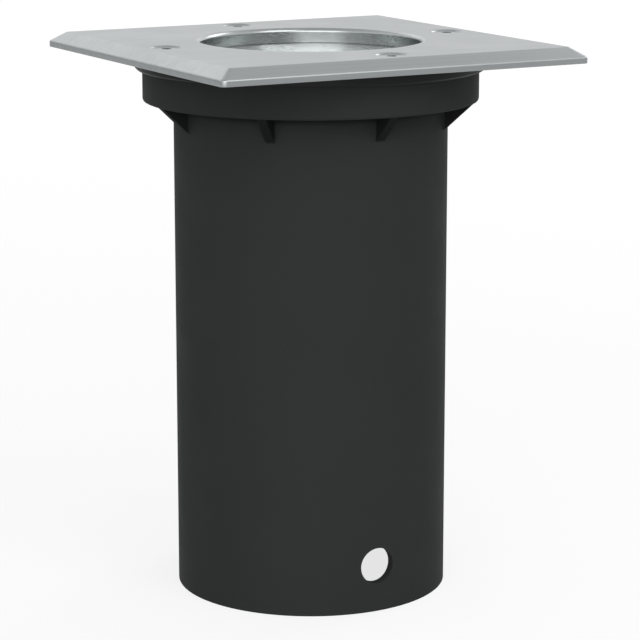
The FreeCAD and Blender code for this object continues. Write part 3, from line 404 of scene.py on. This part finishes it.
@dataclass(frozen=True)
class BrushedMetal:
    """Sheet metal with a brushed grain, and a bright drawn bore that the brush doesn't reach."""

    name: str
    colour: Colour
    stretch: Place = (40.0, 4200.0, 4200.0)
    dark_streak: float = 0.88
    light_streak: float = 1.1
    roughness: float = 0.34
    roughness_swing: float = 0.08
    smear: float = 0.06
    grain_strength: float = 0.35
    grain_depth: float = 0.000006
    dust: float = 0.06
    dust_colour: Colour = (0.5, 0.48, 0.44)
    bore: float = 0.0
    bore_roughness: float = 0.22

    def make(self) -> bpy.types.Material:
        """Builds the material.

        Returns:
            The new material.
        """
        material, graph, shader = shade(self.name)
        grain = place(graph, Effect.BRUSH_GRAIN, Stretch=self.stretch)
        marks = place(graph, Effect.HAND_MARKS)
        dust = place(graph, Effect.DUST_FILM, Amount=self.dust)
        dark, light = scaled(self.colour, self.dark_streak), scaled(self.colour, self.light_streak)
        metal = graph.mix(grain.outputs["Streaks"], dark, light)
        graph.set(shader, "Base_Color", graph.mix(dust.outputs["Mask"], metal, self.dust_colour))
        dull, bright = self.roughness + self.roughness_swing, self.roughness - self.roughness_swing
        shine = graph.spread(grain.outputs["Grain"], bright, dull)
        if self.bore:
            inside = place(graph, Effect.NEAR_AXIS, Radius=self.bore).outputs["Mask"]
            drawn = graph.maths("MULTIPLY", inside, self.roughness - self.bore_roughness)
            shine = graph.maths("SUBTRACT", shine, drawn)
        smear = graph.spread(marks.outputs["Smear"], 0.0, self.smear)
        graph.set(shader, "Roughness", graph.maths("ADD", shine, smear))
        graph.set(shader, "Metallic", 1.0)
        raise_skin(graph, shader, grain.outputs["Grain"], self.grain_strength, self.grain_depth)
        return material


@dataclass(frozen=True)
class TurnedMetal:
    """Metal turned or spun on a lathe."""

    name: str
    colour: Colour
    pitch: float = 3200.0
    dark_ring: float = 0.84
    roughness: float = 0.26
    bright_swing: float = 0.06
    dull_swing: float = 0.08
    smear: float = 0.08
    smear_size: float = 120.0
    ring_strength: float = 0.3
    ring_depth: float = 0.000008

    def make(self) -> bpy.types.Material:
        """Builds the material.

        Returns:
            The new material.
        """
        material, graph, shader = shade(self.name)
        rings = place(graph, Effect.TURNED_GRAIN, Pitch=self.pitch)
        marks = place(graph, Effect.HAND_MARKS, Size=self.smear_size)
        dark = scaled(self.colour, self.dark_ring)
        graph.set(shader, "Base_Color", graph.mix(rings.outputs["Rings"], dark, self.colour))
        bright, dull = self.roughness - self.bright_swing, self.roughness + self.dull_swing
        shine = graph.spread(rings.outputs["Rings"], bright, dull)
        smear = graph.spread(marks.outputs["Smear"], 0.0, self.smear)
        graph.set(shader, "Roughness", graph.maths("ADD", shine, smear))
        graph.set(shader, "Metallic", 1.0)
        raise_skin(graph, shader, rings.outputs["Rings"], self.ring_strength, self.ring_depth)
        return material


@dataclass(frozen=True)
class Moulding:
    """Moulded plastic, rubber or ceramic with a fine skin, and painted shade under a step where one
    is given.
    """

    name: str
    colour: Colour
    roughness: float = 0.5
    roughness_swing: float = 0.05
    smear_size: float = 60.0
    fineness: float = 2600.0
    skin_strength: float = 0.5
    skin_depth: float = 0.00002
    tone: float = 0.12
    dust: float = 0.1
    dust_colour: Colour = (0.3, 0.28, 0.25)
    gloss: float = 0.5
    sheen: float = 0.0
    coat: float = 0.0
    # Where painted shade falls under a step (radius and height), and the share of the colour that
    # it leaves.
    step: Point | None = None
    painted_step_shade: float = 0.4

    def make(self) -> bpy.types.Material:
        """Builds the material.

        Returns:
            The new material.
        """
        material, graph, shader = shade(self.name)
        skin = place(graph, Effect.MOULD_SKIN, Fineness=self.fineness)
        marks = place(graph, Effect.HAND_MARKS, Size=self.smear_size)
        dust = place(graph, Effect.DUST_FILM, Amount=self.dust)
        dark, light = scaled(self.colour, 1.0 - self.tone), scaled(self.colour, 1.0 + self.tone)
        body = graph.mix(skin.outputs["Tone"], dark, light)
        # Painted shade on the ribs under the step, and a painted contact shadow just under it.
        if self.step:
            shaded = scaled(self.colour, self.painted_step_shade)
            body = graph.mix(painted_shade_under_step(graph, *self.step), body, shaded)
        graph.set(shader, "Base_Color", graph.mix(dust.outputs["Mask"], body, self.dust_colour))
        dull, bright = self.roughness + self.roughness_swing, self.roughness - self.roughness_swing
        graph.set(shader, "Roughness", graph.spread(marks.outputs["Smear"], dull, bright))
        graph.set(shader, "Specular_IOR_Level", self.gloss)
        graph.set(shader, "Sheen_Weight", self.sheen)
        graph.set(shader, "Coat_Weight", self.coat)
        raise_skin(graph, shader, skin.outputs["Height"], self.skin_strength, self.skin_depth)
        return material


@dataclass(frozen=True)
class ClearGlass:
    """Clear glass or clear moulded plastic."""

    name: str
    colour: Colour = (0.93, 0.97, 0.955)
    index: float = 1.5
    roughness: float = 0.02
    smear: float = 0.05
    smear_size: float = 70.0
    smear_tint: float = 0.97

    def make(self) -> bpy.types.Material:
        """Builds the material.

        Returns:
            The new material.
        """
        material, graph, shader = shade(self.name)
        smear = place(graph, Effect.HAND_MARKS, Size=self.smear_size).outputs["Smear"]
        tint = scaled(self.colour, self.smear_tint)
        graph.set(shader, "Base_Color", graph.mix(smear, self.colour, tint))
        shine = graph.spread(smear, self.roughness, self.roughness + self.smear)
        graph.set(shader, "Roughness", shine)
        graph.set(shader, "Transmission_Weight", 1.0)
        graph.set(shader, "IOR", self.index)
        clear = graph.add("BsdfTransparent", Color=(*tint, 1.0))
        choice = graph.add("MixShader")
        shadow = graph.add("LightPath").outputs["Is Shadow Ray"]
        for socket, source in zip(choice.inputs, (shadow, shader.outputs[0], clear.outputs[0])):
            graph.feed(socket, source)
        graph.set(graph.tree.nodes["Material Output"], "Surface", choice.outputs[0])
        return material


@dataclass(frozen=True)
class CircuitBoard:
    """A circuit board's mask with faint tracks under it."""

    name: str
    mask: Colour
    track: Colour
    track_scale: float = 260.0
    track_width: float = 0.03
    track_strength: float = 0.4
    track_height: float = 0.00003
    smear_size: float = 200.0
    smear_shade: float = 0.85
    smear_share: float = 0.4
    clean_roughness: float = 0.3
    smeared_roughness: float = 0.45

    def make(self) -> bpy.types.Material:
        """Builds the material.

        Returns:
            The new material.
        """
        material, graph, shader = shade(self.name)
        mask, track = (*self.mask, 1.0), (*self.track, 1.0)
        where = graph.add("TexCoord").outputs["Object"]
        tracks = graph.add("TexBrick", Vector=where, Scale=self.track_scale, Color1=mask,
                           Color2=mask, Mortar=track, Mortar_Size=self.track_width)
        smear = place(graph, Effect.HAND_MARKS, Size=self.smear_size).outputs["Smear"]
        share = graph.spread(smear, 0.0, self.smear_share)
        dull = scaled(self.mask, self.smear_shade)
        graph.set(shader, "Base_Color", graph.mix(share, tracks.outputs["Color"], dull))
        shine = graph.spread(smear, self.clean_roughness, self.smeared_roughness)
        graph.set(shader, "Roughness", shine)
        raise_skin(graph, shader, tracks.outputs["Fac"], self.track_strength, self.track_height)
        return material


@dataclass(frozen=True)
class WovenLead:
    """Glass braid over a conductor, soaked in silicone."""

    name: str
    colour: Colour
    gap_shade: float = 0.6
    gap_roughness: float = 0.62
    strand_roughness: float = 0.48
    strand_strength: float = 0.6
    strand_height: float = 0.00006

    def make(self) -> bpy.types.Material:
        """Builds the material.

        Returns:
            The new material.
        """
        material, graph, shader = shade(self.name)
        strands = place(graph, Effect.BRAID).outputs["Strands"]
        dark = scaled(self.colour, self.gap_shade)
        graph.set(shader, "Base_Color", graph.mix(strands, dark, self.colour))
        shine = graph.spread(strands, self.gap_roughness, self.strand_roughness)
        graph.set(shader, "Roughness", shine)
        raise_skin(graph, shader, strands, self.strand_strength, self.strand_height)
        return material


Finish = BrushedMetal | TurnedMetal | Moulding | ClearGlass | CircuitBoard | WovenLead


def dress_node(node: str, finish: Finish) -> None:
    """Gives a CAD node a finish.

    Args:
        node: The node's name.
        finish: The finish to build and assign.
    """
    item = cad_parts[node]
    material = finish.make()
    if not item.material_slots:
        item.data.materials.append(material)
    for slot in item.material_slots:
        slot.material = material
    log.info("dressed %s as %s", node, finish.name)


# ---------------------------------------------------------------------------
# Sub-assemblies


def soft_corner(before: Point, corner: Point, after: Point, radius: float,
                steps: int = 4) -> list[Point]:
    """Rounds one corner of a profile.

    Args:
        before: The profile's point before the corner.
        corner: The corner itself.
        after: The point after it.
        radius: The bend's radius.
        steps: How many chords make up the bend.

    Returns:
        The points of the bend, in order.
    """
    here = Vector(corner)
    back = (Vector(before) - here).normalized()
    on = (Vector(after) - here).normalized()
    half = back.angle(on) / 2
    reach = radius / math.tan(half)
    centre = here + (back + on).normalized() * radius / math.sin(half)
    first, last = here + back * reach, here + on * reach
    points = []
    for step in range(steps + 1):
        between = (first - centre).lerp(last - centre, step / steps).normalized() * radius
        points.append(tuple(centre + between))
    return points


def soften_profile(corners: Sequence[tuple[float, float, float]]) -> list[Point]:
    """Rounds the corners of an open profile.

    Args:
        corners: Points with the radius of the bend at each, 0 for a sharp point as at both ends.

    Returns:
        The profile's points.
    """
    points: list[Point] = []
    for index, (across, up, radius) in enumerate(corners):
        if radius == 0:
            points.append((across, up))
            continue
        before, after = corners[index - 1][:2], corners[index + 1][:2]
        points.extend(soft_corner(before, (across, up), after, radius))
    return points


def make_circle(mesh: bmesh.types.BMesh, centre: Point, radius: float, level: float,
                steps: int) -> list[bmesh.types.BMVert]:
    """One round ring of vertices.

    Args:
        mesh: The mesh under construction.
        centre: The ring's centre.
        radius: Its radius.
        level: Its height.
        steps: How many vertices it has.

    Returns:
        The ring's vertices in order.
    """
    return [
        mesh.verts.new((
            centre[0] + radius * math.cos(math.tau * step / steps),
            centre[1] + radius * math.sin(math.tau * step / steps),
            level,
        ))
        for step in range(steps)
    ]


def bridge_rings(mesh: bmesh.types.BMesh, rings: Sequence[Sequence[bmesh.types.BMVert]]) -> None:
    """Joins rings of equal length with quads.

    Args:
        mesh: The mesh under construction.
        rings: The rings, each joined to the next.
    """
    for lower, upper in zip(rings, rings[1:]):
        count = len(lower)
        for index in range(count):
            following = (index + 1) % count
            mesh.faces.new((lower[index], lower[following], upper[following], upper[index]))


def finish_mesh(mesh: bmesh.types.BMesh, name: str, crease: float = 35.0) -> bpy.types.Object:
    """Turns a finished mesh into a smoothly shaded object.

    Args:
        mesh: The mesh, which is used up.
        name: The object's name.
        crease: The angle in degrees from which an edge stays sharp.

    Returns:
        The new object, linked to the scene.
    """
    bmesh.ops.recalc_face_normals(mesh, faces=mesh.faces)
    for face in mesh.faces:
        face.smooth = True
    for edge in mesh.edges:
        edge.smooth = len(edge.link_faces) != 2 or edge.calc_face_angle() < math.radians(crease)
    data = bpy.data.meshes.new(name)
    mesh.to_mesh(data)
    mesh.free()
    item = bpy.data.objects.new(name, data)
    bpy.context.scene.collection.objects.link(item)
    even = item.modifiers.new("even_shading", "WEIGHTED_NORMAL")
    even.keep_sharp = True
    return item


def put_in_place_of(item: bpy.types.Object, node: str, body: Body,
                    finish: Finish) -> None:
    """Dresses a detailed piece and lets it stand for its CAD node.

    Args:
        item: The detailed piece.
        node: The CAD node that it replaces.
        body: The body that it rides on.
        finish: Its finish.
    """
    item.data.materials.append(finish.make())
    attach(item, body.value)
    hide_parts(node)
    log.info("built %s in place of %s", item.name, node)


@dataclass
class PressedCover:
    """The square steel cover, pressed from sheet: soft bends, soft corners and a rim drawn down."""

    half_side: float = 0.055
    top: float = 0.154
    lip_bottom: float = 0.1497
    lip_top: float = 0.1514
    bevel_width: float = 0.0039
    sheet: float = 0.0015
    bend: float = 0.0007
    inner_bend: float = 0.0003
    lip_edge: float = 0.0002
    flat_margin: float = 0.002
    corner: float = 0.0016
    least_corner: float = 0.0005
    opening: float = 0.0305
    opening_margin: float = 0.0025
    rim_bottom: float = 0.14982
    rim_bend: float = 0.0012
    rim_edge: float = 0.00006
    rim_heel: float = 0.0003
    rim_root: float = 0.0006
    root_margin: float = 0.0015
    bright_margin: float = 0.0009
    screws: int = 4
    screw_circle: float = 0.044
    screw_mouth: float = 0.0046
    screw_shank: float = 0.0031
    mouth_flare: float = 0.0002
    mouth_inset: float = 0.00005
    mouth_depth: float = 0.00015
    corner_steps: int = 8
    screw_steps: int = 40

    def square(self, mesh: bmesh.types.BMesh, half: float,
               level: float) -> list[bmesh.types.BMVert]:
        """One ring of the cover's outline, with softened corners.

        Args:
            mesh: The mesh under construction.
            half: Half the ring's side.
            level: Its height.

        Returns:
            The ring's vertices in order.
        """
        outward = (half - self.half_side + self.bevel_width) / self.bevel_width
        radius = max(self.corner * (0.5 + 0.5 * outward), self.least_corner)
        ring = []
        for quarter in range(4):
            middle = Vector((half - radius, half - radius))
            for step in range(self.corner_steps + 1):
                angle = math.radians(90 * step / self.corner_steps)
                point = middle + Vector((math.cos(angle), math.sin(angle))) * radius
                turned = Matrix.Rotation(math.radians(90 * quarter), 2) @ point
                ring.append(mesh.verts.new((turned.x, turned.y, level)))
        return ring

    @staticmethod
    def fill(mesh: bmesh.types.BMesh, rings: Sequence[Sequence[bmesh.types.BMVert]]) -> None:
        """Fills the flat face between an outer ring and its holes.

        Args:
            mesh: The mesh under construction.
            rings: The outer ring and the holes' rings.
        """
        edges = []
        for ring in rings:
            for index, vertex in enumerate(ring):
                pair = (vertex, ring[(index + 1) % len(ring)])
                edges.append(mesh.edges.get(pair) or mesh.edges.new(pair))
        bmesh.ops.triangle_fill(mesh, edges=edges, use_beauty=True)

    def skirt(self) -> list[Point]:
        """The section through the cover's edge.

        Returns:
            Radius and height of each point, from the flat top out, down and back underneath.
        """
        flat = self.half_side - self.bevel_width
        drop = self.top - self.lip_top
        length = math.hypot(self.bevel_width, drop)
        inner_side = self.half_side - self.sheet
        inner_flat = flat - self.sheet * (length - self.bevel_width) / drop
        inner_top = self.top - self.sheet
        inner_corner = inner_top - (inner_side - inner_flat) / (self.bevel_width / drop)
        return soften_profile([
            (flat - self.flat_margin, self.top, 0.0),
            (flat, self.top, self.bend),
            (self.half_side, self.lip_top, self.bend),
            (self.half_side, self.lip_bottom, self.lip_edge),
            (inner_side, self.lip_bottom, self.lip_edge),
            (inner_side, inner_corner, self.inner_bend),
            (inner_flat, inner_top, self.inner_bend),
            (inner_flat - self.flat_margin, inner_top, 0.0),
        ])

    def rim(self) -> list[Point]:
        """The section through the drawn rim.

        Returns:
            Radius and height of each point, from the flat top down the bore and back up outside.
        """
        outer = self.opening + self.sheet
        return soften_profile([
            (self.opening + self.opening_margin, self.top, 0.0),
            (self.opening, self.top, self.rim_bend),
            (self.opening, self.rim_bottom, self.rim_edge),
            (outer, self.rim_bottom, self.rim_heel),
            (outer, self.top - self.sheet, self.rim_root),
            (outer + self.root_margin, self.top - self.sheet, 0.0),
        ])

    def build(self) -> bpy.types.Object:
        """Builds the cover's mesh.

        Returns:
            The cover, which stands for its CAD node.
        """
        mesh = bmesh.new()
        outside = [self.square(mesh, half, level) for half, level in self.skirt()]
        bridge_rings(mesh, outside)
        bore = [
            make_circle(mesh, (0.0, 0.0), radius, level, FULL_TURN_STEPS)
            for radius, level in self.rim()
        ]
        bridge_rings(mesh, bore)
        upper, lower = [outside[0], bore[0]], [outside[-1], bore[-1]]
        section = (
            (self.screw_mouth + self.mouth_flare, self.top),
            (self.screw_mouth - self.mouth_inset, self.top - self.mouth_depth),
            (self.screw_shank, self.top - self.sheet),
        )
        for screw in range(self.screws):
            angle = math.radians(360 * screw / self.screws)
            centre = (self.screw_circle * math.cos(angle), self.screw_circle * math.sin(angle))
            cone = [
                make_circle(mesh, centre, radius, level, self.screw_steps)
                for radius, level in section
            ]
            bridge_rings(mesh, cone)
            upper.append(cone[0])
            lower.append(cone[-1])
        self.fill(mesh, upper)
        self.fill(mesh, lower)
        return finish_mesh(mesh, "pressed_cover")

    def dress(self, cover: bpy.types.Object) -> None:
        """Gives the cover and its screws their steel.

        Args:
            cover: The cover's object.
        """
        steel = BrushedMetal(
            "brushed_cover_steel", (0.412, 0.434, 0.438), bore=self.opening + self.bright_margin)
        put_in_place_of(cover, "cover_plate", Body.LAMP_UNIT, steel)
        dress_node("cover_screws", TurnedMetal(
            "cover_screw_steel", (0.42, 0.44, 0.445), roughness=0.2))


@dataclass
class SpunTrimRing:
    """The aluminium ring round the lamp, with a flange in the pot and a bowl up to the glass."""

    outer: float = 0.0311
    flange_inner: float = 0.0296
    inner: float = 0.0256
    seat: float = 0.1399
    sheet: float = 0.001
    edge_sheet: float = 0.0003
    edge_top: float = 0.14475
    flare: float = 0.0007
    flare_foot: float = 0.1435
    dish: float = 0.002
    collar: float = 0.0035
    collar_edge: float = 0.0002
    foot_bend: float = 0.0003
    flange_bend: float = 0.0004
    edge_break: float = 0.0001
    bowl_lean: Point = (22.0, 58.0)
    bowl_steps: int = 12

    def section(self) -> list[Point]:
        """The section through the ring.

        Returns:
            Radius and height of each point, down the bowl to the lamp and back up outside.
        """
        dished = self.seat + self.sheet - self.dish
        edge = self.outer + self.flare - self.edge_sheet
        first, last = (math.radians(lean) for lean in self.bowl_lean)
        radius = (self.edge_top - dished) / (math.sin(last) - math.sin(first))
        bowl = []
        for step in range(self.bowl_steps + 1):
            lean = first + (last - first) * step / self.bowl_steps
            bowl.append((
                edge - radius * (math.cos(first) - math.cos(lean)),
                self.edge_top - radius * (math.sin(lean) - math.sin(first)),
            ))
        foot = bowl[-1][0]
        outside = soften_profile([
            (self.inner, dished, 0.0),
            (self.inner, dished - self.collar, self.collar_edge),
            (foot, dished - self.collar, self.collar_edge),
            (foot, dished - self.sheet, self.foot_bend),
            (self.flange_inner, self.seat, self.flange_bend),
            (self.outer, self.seat, self.foot_bend),
            (self.outer, self.flare_foot, self.foot_bend),
            (self.outer + self.flare, self.flare_foot + self.flare, self.collar_edge),
            (self.outer + self.flare, self.edge_top, self.edge_break),
            (edge, self.edge_top, 0.0),
        ])
        return bowl + outside[:-1]

    def build(self) -> bpy.types.Object:
        """Spins the section round the light's axis.

        Returns:
            The ring's object.
        """
        mesh = bmesh.new()
        rings = [
            make_circle(mesh, (0.0, 0.0), radius, level, FULL_TURN_STEPS)
            for radius, level in self.section()
        ]
        bridge_rings(mesh, rings + rings[:1])
        return finish_mesh(mesh, "spun_trim_ring")

    def dress(self, ring: bpy.types.Object) -> None:
        """Gives the ring its spun aluminium.

        Args:
            ring: The ring's object.
        """
        metal = TurnedMetal("spun_aluminium", (0.84, 0.845, 0.85), roughness=0.13)
        put_in_place_of(ring, "trim_ring", Body.LAMP_UNIT, metal)


@dataclass
class GroundSleeve:
    """The black moulded sleeve."""

    colour: Colour = (0.0375, 0.0402, 0.0391)
    rib_foot: float = 0.0384
    step_level: float = 0.1376

    def dress(self) -> None:
        """Gives the sleeve its moulded skin, with painted shade on the ribs under its step and a
        painted contact shadow just under the step.
        """
        dress_node("ground_sleeve", Moulding(
            "sleeve_plastic", self.colour, roughness=0.66, fineness=2200.0, tone=0.08, dust=0.03,
            gloss=0.06, step=(self.rib_foot, self.step_level)))


@dataclass
class LampHousing:
    """The cast pot with its glass and its seal."""

    coat_colour: Colour = (0.02, 0.0205, 0.021)

    def dress(self) -> None:
        """Gives the pot its powder coat and the pieces in its mouth their finishes."""
        dress_node("lamp_housing", Moulding(
            "powder_coat", self.coat_colour, roughness=0.46, fineness=1500.0, skin_depth=0.00003,
            dust=0.03, gloss=0.15))
        dress_node("glass_lens", ClearGlass("cover_glass"))
        dress_node("glass_seal", Moulding(
            "seal_rubber", (0.022, 0.022, 0.022), roughness=0.66, fineness=1800.0, sheen=0.1))


@dataclass
class HolderAssembly:
    """The lampholder on its bracket, with its screws, contacts and leads."""

    zinc: Colour = (0.58, 0.6, 0.62)
    brass: Colour = (0.72, 0.55, 0.25)

    def dress(self) -> None:
        """Gives each piece its finish."""
        dress_node("lampholder", Moulding(
            "steatite", (0.74, 0.72, 0.66), roughness=0.58, fineness=1400.0, tone=0.05, dust=0.02))
        dress_node("holder_contacts", TurnedMetal("contact_brass", self.brass))
        dress_node("holder_bracket", BrushedMetal("bracket_zinc", self.zinc, roughness=0.4))
        for node in ("holder_screws", "bracket_screws"):
            dress_node(node, TurnedMetal(f"{node}_zinc", self.zinc))
        dress_node("earth_screw", TurnedMetal("earth_screw_brass", self.brass))
        dress_node("lamp_leads", WovenLead("woven_sleeving", (0.68, 0.65, 0.57)))


@dataclass
class TerminalGroup:
    """The two-pole terminal block and its metal."""

    brass: Colour = (0.7, 0.54, 0.26)
    zinc: Colour = (0.56, 0.58, 0.6)

    def dress(self) -> None:
        """Gives each piece its finish."""
        dress_node("terminal_block", Moulding(
            "natural_nylon", (0.62, 0.61, 0.56), roughness=0.38, fineness=3000.0, tone=0.05))
        dress_node("terminal_clamps", TurnedMetal("clamp_brass", self.brass))
        for node in ("terminal_screws", "terminal_fixing_screw"):
            dress_node(node, TurnedMetal(f"{node}_zinc", self.zinc))


@dataclass
class CableGland:
    """The gland in the pot's floor."""

    colour: Colour = (0.028, 0.029, 0.03)

    def dress(self) -> None:
        """Gives each piece its finish."""
        for node in ("gland_body", "gland_locknut", "gland_cap"):
            dress_node(node, Moulding(
                f"{node}_nylon", self.colour, roughness=0.36, fineness=3000.0))
        for node in ("gland_washer", "gland_seal"):
            dress_node(node, Moulding(
                f"{node}_rubber", (0.02, 0.02, 0.02), roughness=0.7, sheen=0.1))


@dataclass
class TwistLockLamp:
    """The replaceable lamp."""

    white: Colour = (0.76, 0.76, 0.74)

    def dress(self) -> None:
        """Gives each piece its finish."""
        dress_node("lamp_base", Moulding(
            "lamp_base_ceramic", (0.74, 0.73, 0.69), roughness=0.45, fineness=1600.0, tone=0.04,
            dust=0.0))
        dress_node("lamp_pins", TurnedMetal("pin_nickel", (0.66, 0.65, 0.61), roughness=0.2))
        dress_node("lamp_shell", Moulding(
            "lamp_shell_plastic", self.white, roughness=0.35, fineness=3200.0, tone=0.03, dust=0.0))
        dress_node("lamp_lens", ClearGlass(
            "lamp_front", (0.95, 0.96, 0.95), index=1.49, roughness=0.05))
        dress_node("led_board", CircuitBoard(
            "led_board_mask", mask=(0.76, 0.77, 0.76), track=(0.6, 0.61, 0.6)))
        dress_node("led_emitters", Moulding(
            "phosphor_gel", (0.78, 0.6, 0.12), roughness=0.3, fineness=4000.0, tone=0.1, dust=0.0,
            coat=0.5))
        dress_node("driver_board", CircuitBoard(
            "driver_mask", mask=(0.03, 0.17, 0.07), track=(0.08, 0.3, 0.13)))


# ---------------------------------------------------------------------------
# Studio


@dataclass(frozen=True)
class SoftLamp:
    """A square soft lamp that faces the middle of the light."""

    name: str
    stand: Place
    side: float
    power: float
    aim: Place = (0.0, 0.0, 0.08)

    def build(self) -> None:
        """Hangs the lamp in the scene."""
        lamp = bpy.data.lights.new(self.name, "AREA")
        lamp.size = self.side
        lamp.energy = self.power
        item = bpy.data.objects.new(self.name, lamp)
        item.location = self.stand
        toward = Vector(self.aim) - Vector(self.stand)
        item.rotation_euler = toward.to_track_quat("-Z", "Y").to_euler()
        bpy.context.scene.collection.objects.link(item)


@dataclass
class Studio:
    """A pale floor, a white sky, soft lamps and the camera."""

    floor_side: float = 14.0
    floor_tone: Colour = (0.35, 0.35, 0.35)
    floor_in_metal: float = 0.6
    shadow_tone: Colour = (0.26, 0.26, 0.26)
    # The glow for seen rays is weaker near the middle than far out, which deepens the real shadow
    # round the base with painted shade.
    glow_reach: Point = (0.3, 1.6)
    glow: Point = (0.775, 0.87)
    sky_light: float = 0.52
    ceiling: float = 0.66
    ceiling_rise: Point = (0.45, 0.95)
    side_dimming: float = 0.8
    dimming_turn: float = 20.0
    dimming_rise: Point = (0.1, 0.17)
    dimming_spread: Point = (0.35, 0.75)
    lamps: tuple[SoftLamp, ...] = (
        SoftLamp("front_lamp", (-0.8, -1.04, 0.5), 1.3, 8.0),
        SoftLamp("right_lamp", (0.27, -1.15, 1.22), 0.85, 5.0),
        SoftLamp("window_lamp", (1.29, 0.38, 0.88), 0.6, 3.0),
        SoftLamp("back_lamp", (0.12, 1.36, 1.0), 0.8, 0.8),
    )
    camera_distance: float = 0.7
    camera_height: float = 0.22702
    azimuth: float = 28.72
    yaw: float = 0.21
    pitch: float = 12.27
    sensor: float = 36.0
    lens_share: float = 3.9677
    clipping: Point = (0.01, 100.0)

    @staticmethod
    def seen_ray(graph: Graph, mirrored: object) -> bpy.types.NodeSocket:
        """How much of the white backdrop a ray sees.

        Args:
            graph: The material's or the world's graph.
            mirrored: What rays by way of shiny surfaces see, as a number or a socket.

        Returns:
            One for rays from the camera or through glass, the given share for mirrored ones, and
            nothing for light.
        """
        path = graph.add("LightPath")
        shiny = graph.maths("MULTIPLY", path.outputs["Is Glossy Ray"], mirrored)
        plain = graph.maths(
            "MAXIMUM", path.outputs["Is Camera Ray"], path.outputs["Is Transmission Ray"])
        return graph.maths("MAXIMUM", plain, shiny)

    def light_only(self, graph: Graph) -> bpy.types.NodeSocket:
        """The sky's strength as light, and nothing for rays by way of shiny surfaces."""
        shiny = graph.add("LightPath").outputs["Is Glossy Ray"]
        return graph.maths("MULTIPLY", graph.maths("SUBTRACT", 1.0, shiny), self.sky_light)

    def dress_floor(self) -> bpy.types.Material:
        """Plain paper for light, and for seen rays nearly white with the light's soft shadow and
        painted shade.

        Returns:
            The floor's material.
        """
        material = bpy.data.materials.new("floor_paper")
        material.use_nodes = True
        graph = Graph(material.node_tree)
        plain = graph.add("BsdfDiffuse", Color=(*self.floor_tone, 1.0))
        faint = graph.add("BsdfDiffuse", Color=(*self.shadow_tone, 1.0))
        away = graph.add("VectorMath", operation="LENGTH")
        graph.feed(away.inputs[0], graph.add("TexCoord").outputs["Object"])
        # Painted shade: the glow is weaker near the middle, so the floor round the base is darker
        # than the lamps alone make it.
        strength = graph.spread(away.outputs["Value"], *self.glow, reach=self.glow_reach)
        glow = graph.add("Emission", Color=WHITE, Strength=strength)
        bright = graph.add("AddShader")
        graph.feed(bright.inputs[0], faint.outputs[0])
        graph.feed(bright.inputs[1], glow.outputs[0])
        choice = graph.add("MixShader")
        seen = self.seen_ray(graph, self.floor_in_metal)
        for socket, source in zip(choice.inputs, (seen, plain.outputs[0], bright.outputs[0])):
            graph.feed(socket, source)
        graph.add("OutputMaterial", Surface=choice.outputs[0])
        return material

    def make_floor(self) -> None:
        """Lays the floor under the sleeve."""
        half = self.floor_side / 2
        corners = [(-half, -half, 0), (half, -half, 0), (half, half, 0), (-half, half, 0)]
        mesh = bpy.data.meshes.new("floor")
        mesh.from_pydata(corners, [], [(0, 1, 2, 3)])
        mesh.materials.append(self.dress_floor())
        floor = bpy.data.objects.new("floor", mesh)
        bpy.context.scene.collection.objects.link(floor)

    def make_world(self) -> None:
        """Hangs a white sky.

        As light it is dimmer, and in what metal mirrors it dims overhead and low at both sides.
        """
        world = bpy.data.worlds.new("studio_sky")
        bpy.context.scene.world = world
        world.use_nodes = True
        graph = Graph(world.node_tree)
        way = graph.add("TexCoord").outputs["Generated"]
        height = graph.add("SeparateXYZ", Vector=way).outputs["Z"]
        overhead = graph.spread(height, 1.0, self.ceiling, reach=self.ceiling_rise)
        low = graph.spread(height, self.side_dimming, 0.0, reach=self.dimming_rise)
        across = graph.add("VectorMath", operation="DOT_PRODUCT")
        graph.feed(across.inputs[0], way)
        away = math.radians(self.azimuth + self.dimming_turn)
        graph.feed(across.inputs[1], (math.cos(away), -math.sin(away), 0.0))
        sideways = graph.maths("ABSOLUTE", across.outputs["Value"])
        side = graph.spread(sideways, 0.0, 1.0, reach=self.dimming_spread)
        kept = graph.maths("SUBTRACT", 1.0, graph.maths("MULTIPLY", low, side))
        mirrored = graph.maths("MULTIPLY", overhead, kept)
        strength = graph.maths("MAXIMUM", self.seen_ray(graph, mirrored), self.light_only(graph))
        sky = graph.add("Background", Color=WHITE, Strength=strength)
        graph.add("OutputWorld", Surface=sky.outputs[0])

    def make_camera(self) -> None:
        """The camera, where it shows the light from the photograph's side."""
        camera = bpy.data.cameras.new("camera")
        camera.sensor_width = self.sensor
        camera.lens = self.sensor * self.lens_share
        camera.clip_start, camera.clip_end = self.clipping
        item = bpy.data.objects.new("camera", camera)
        away = math.radians(self.azimuth)
        item.location = (
            -math.sin(away) * self.camera_distance,
            -math.cos(away) * self.camera_distance,
            self.camera_height,
        )
        heading = -math.radians(self.azimuth + self.yaw)
        item.rotation_euler = (math.radians(90 - self.pitch), 0.0, heading)
        bpy.context.scene.collection.objects.link(item)
        bpy.context.scene.camera = item

    def build(self) -> None:
        """Sets up the whole studio."""
        self.make_floor()
        self.make_world()
        for lamp in self.lamps:
            lamp.build()
        self.make_camera()
        bpy.context.scene.view_settings.view_transform = "Standard"


def main() -> None:
    """Builds and dresses the light, piece by piece, and then the studio round it."""
    logging.basicConfig(level=logging.INFO, format="%(message)s")
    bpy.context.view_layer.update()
    make_shared_effects()
    for detailed in (PressedCover(), SpunTrimRing()):
        detailed.dress(detailed.build())
    for group in (GroundSleeve(), LampHousing(), HolderAssembly(), TerminalGroup(),
                  CableGland(), TwistLockLamp()):
        group.dress()
    Studio().build()


if __name__ == "__main__":
    main()
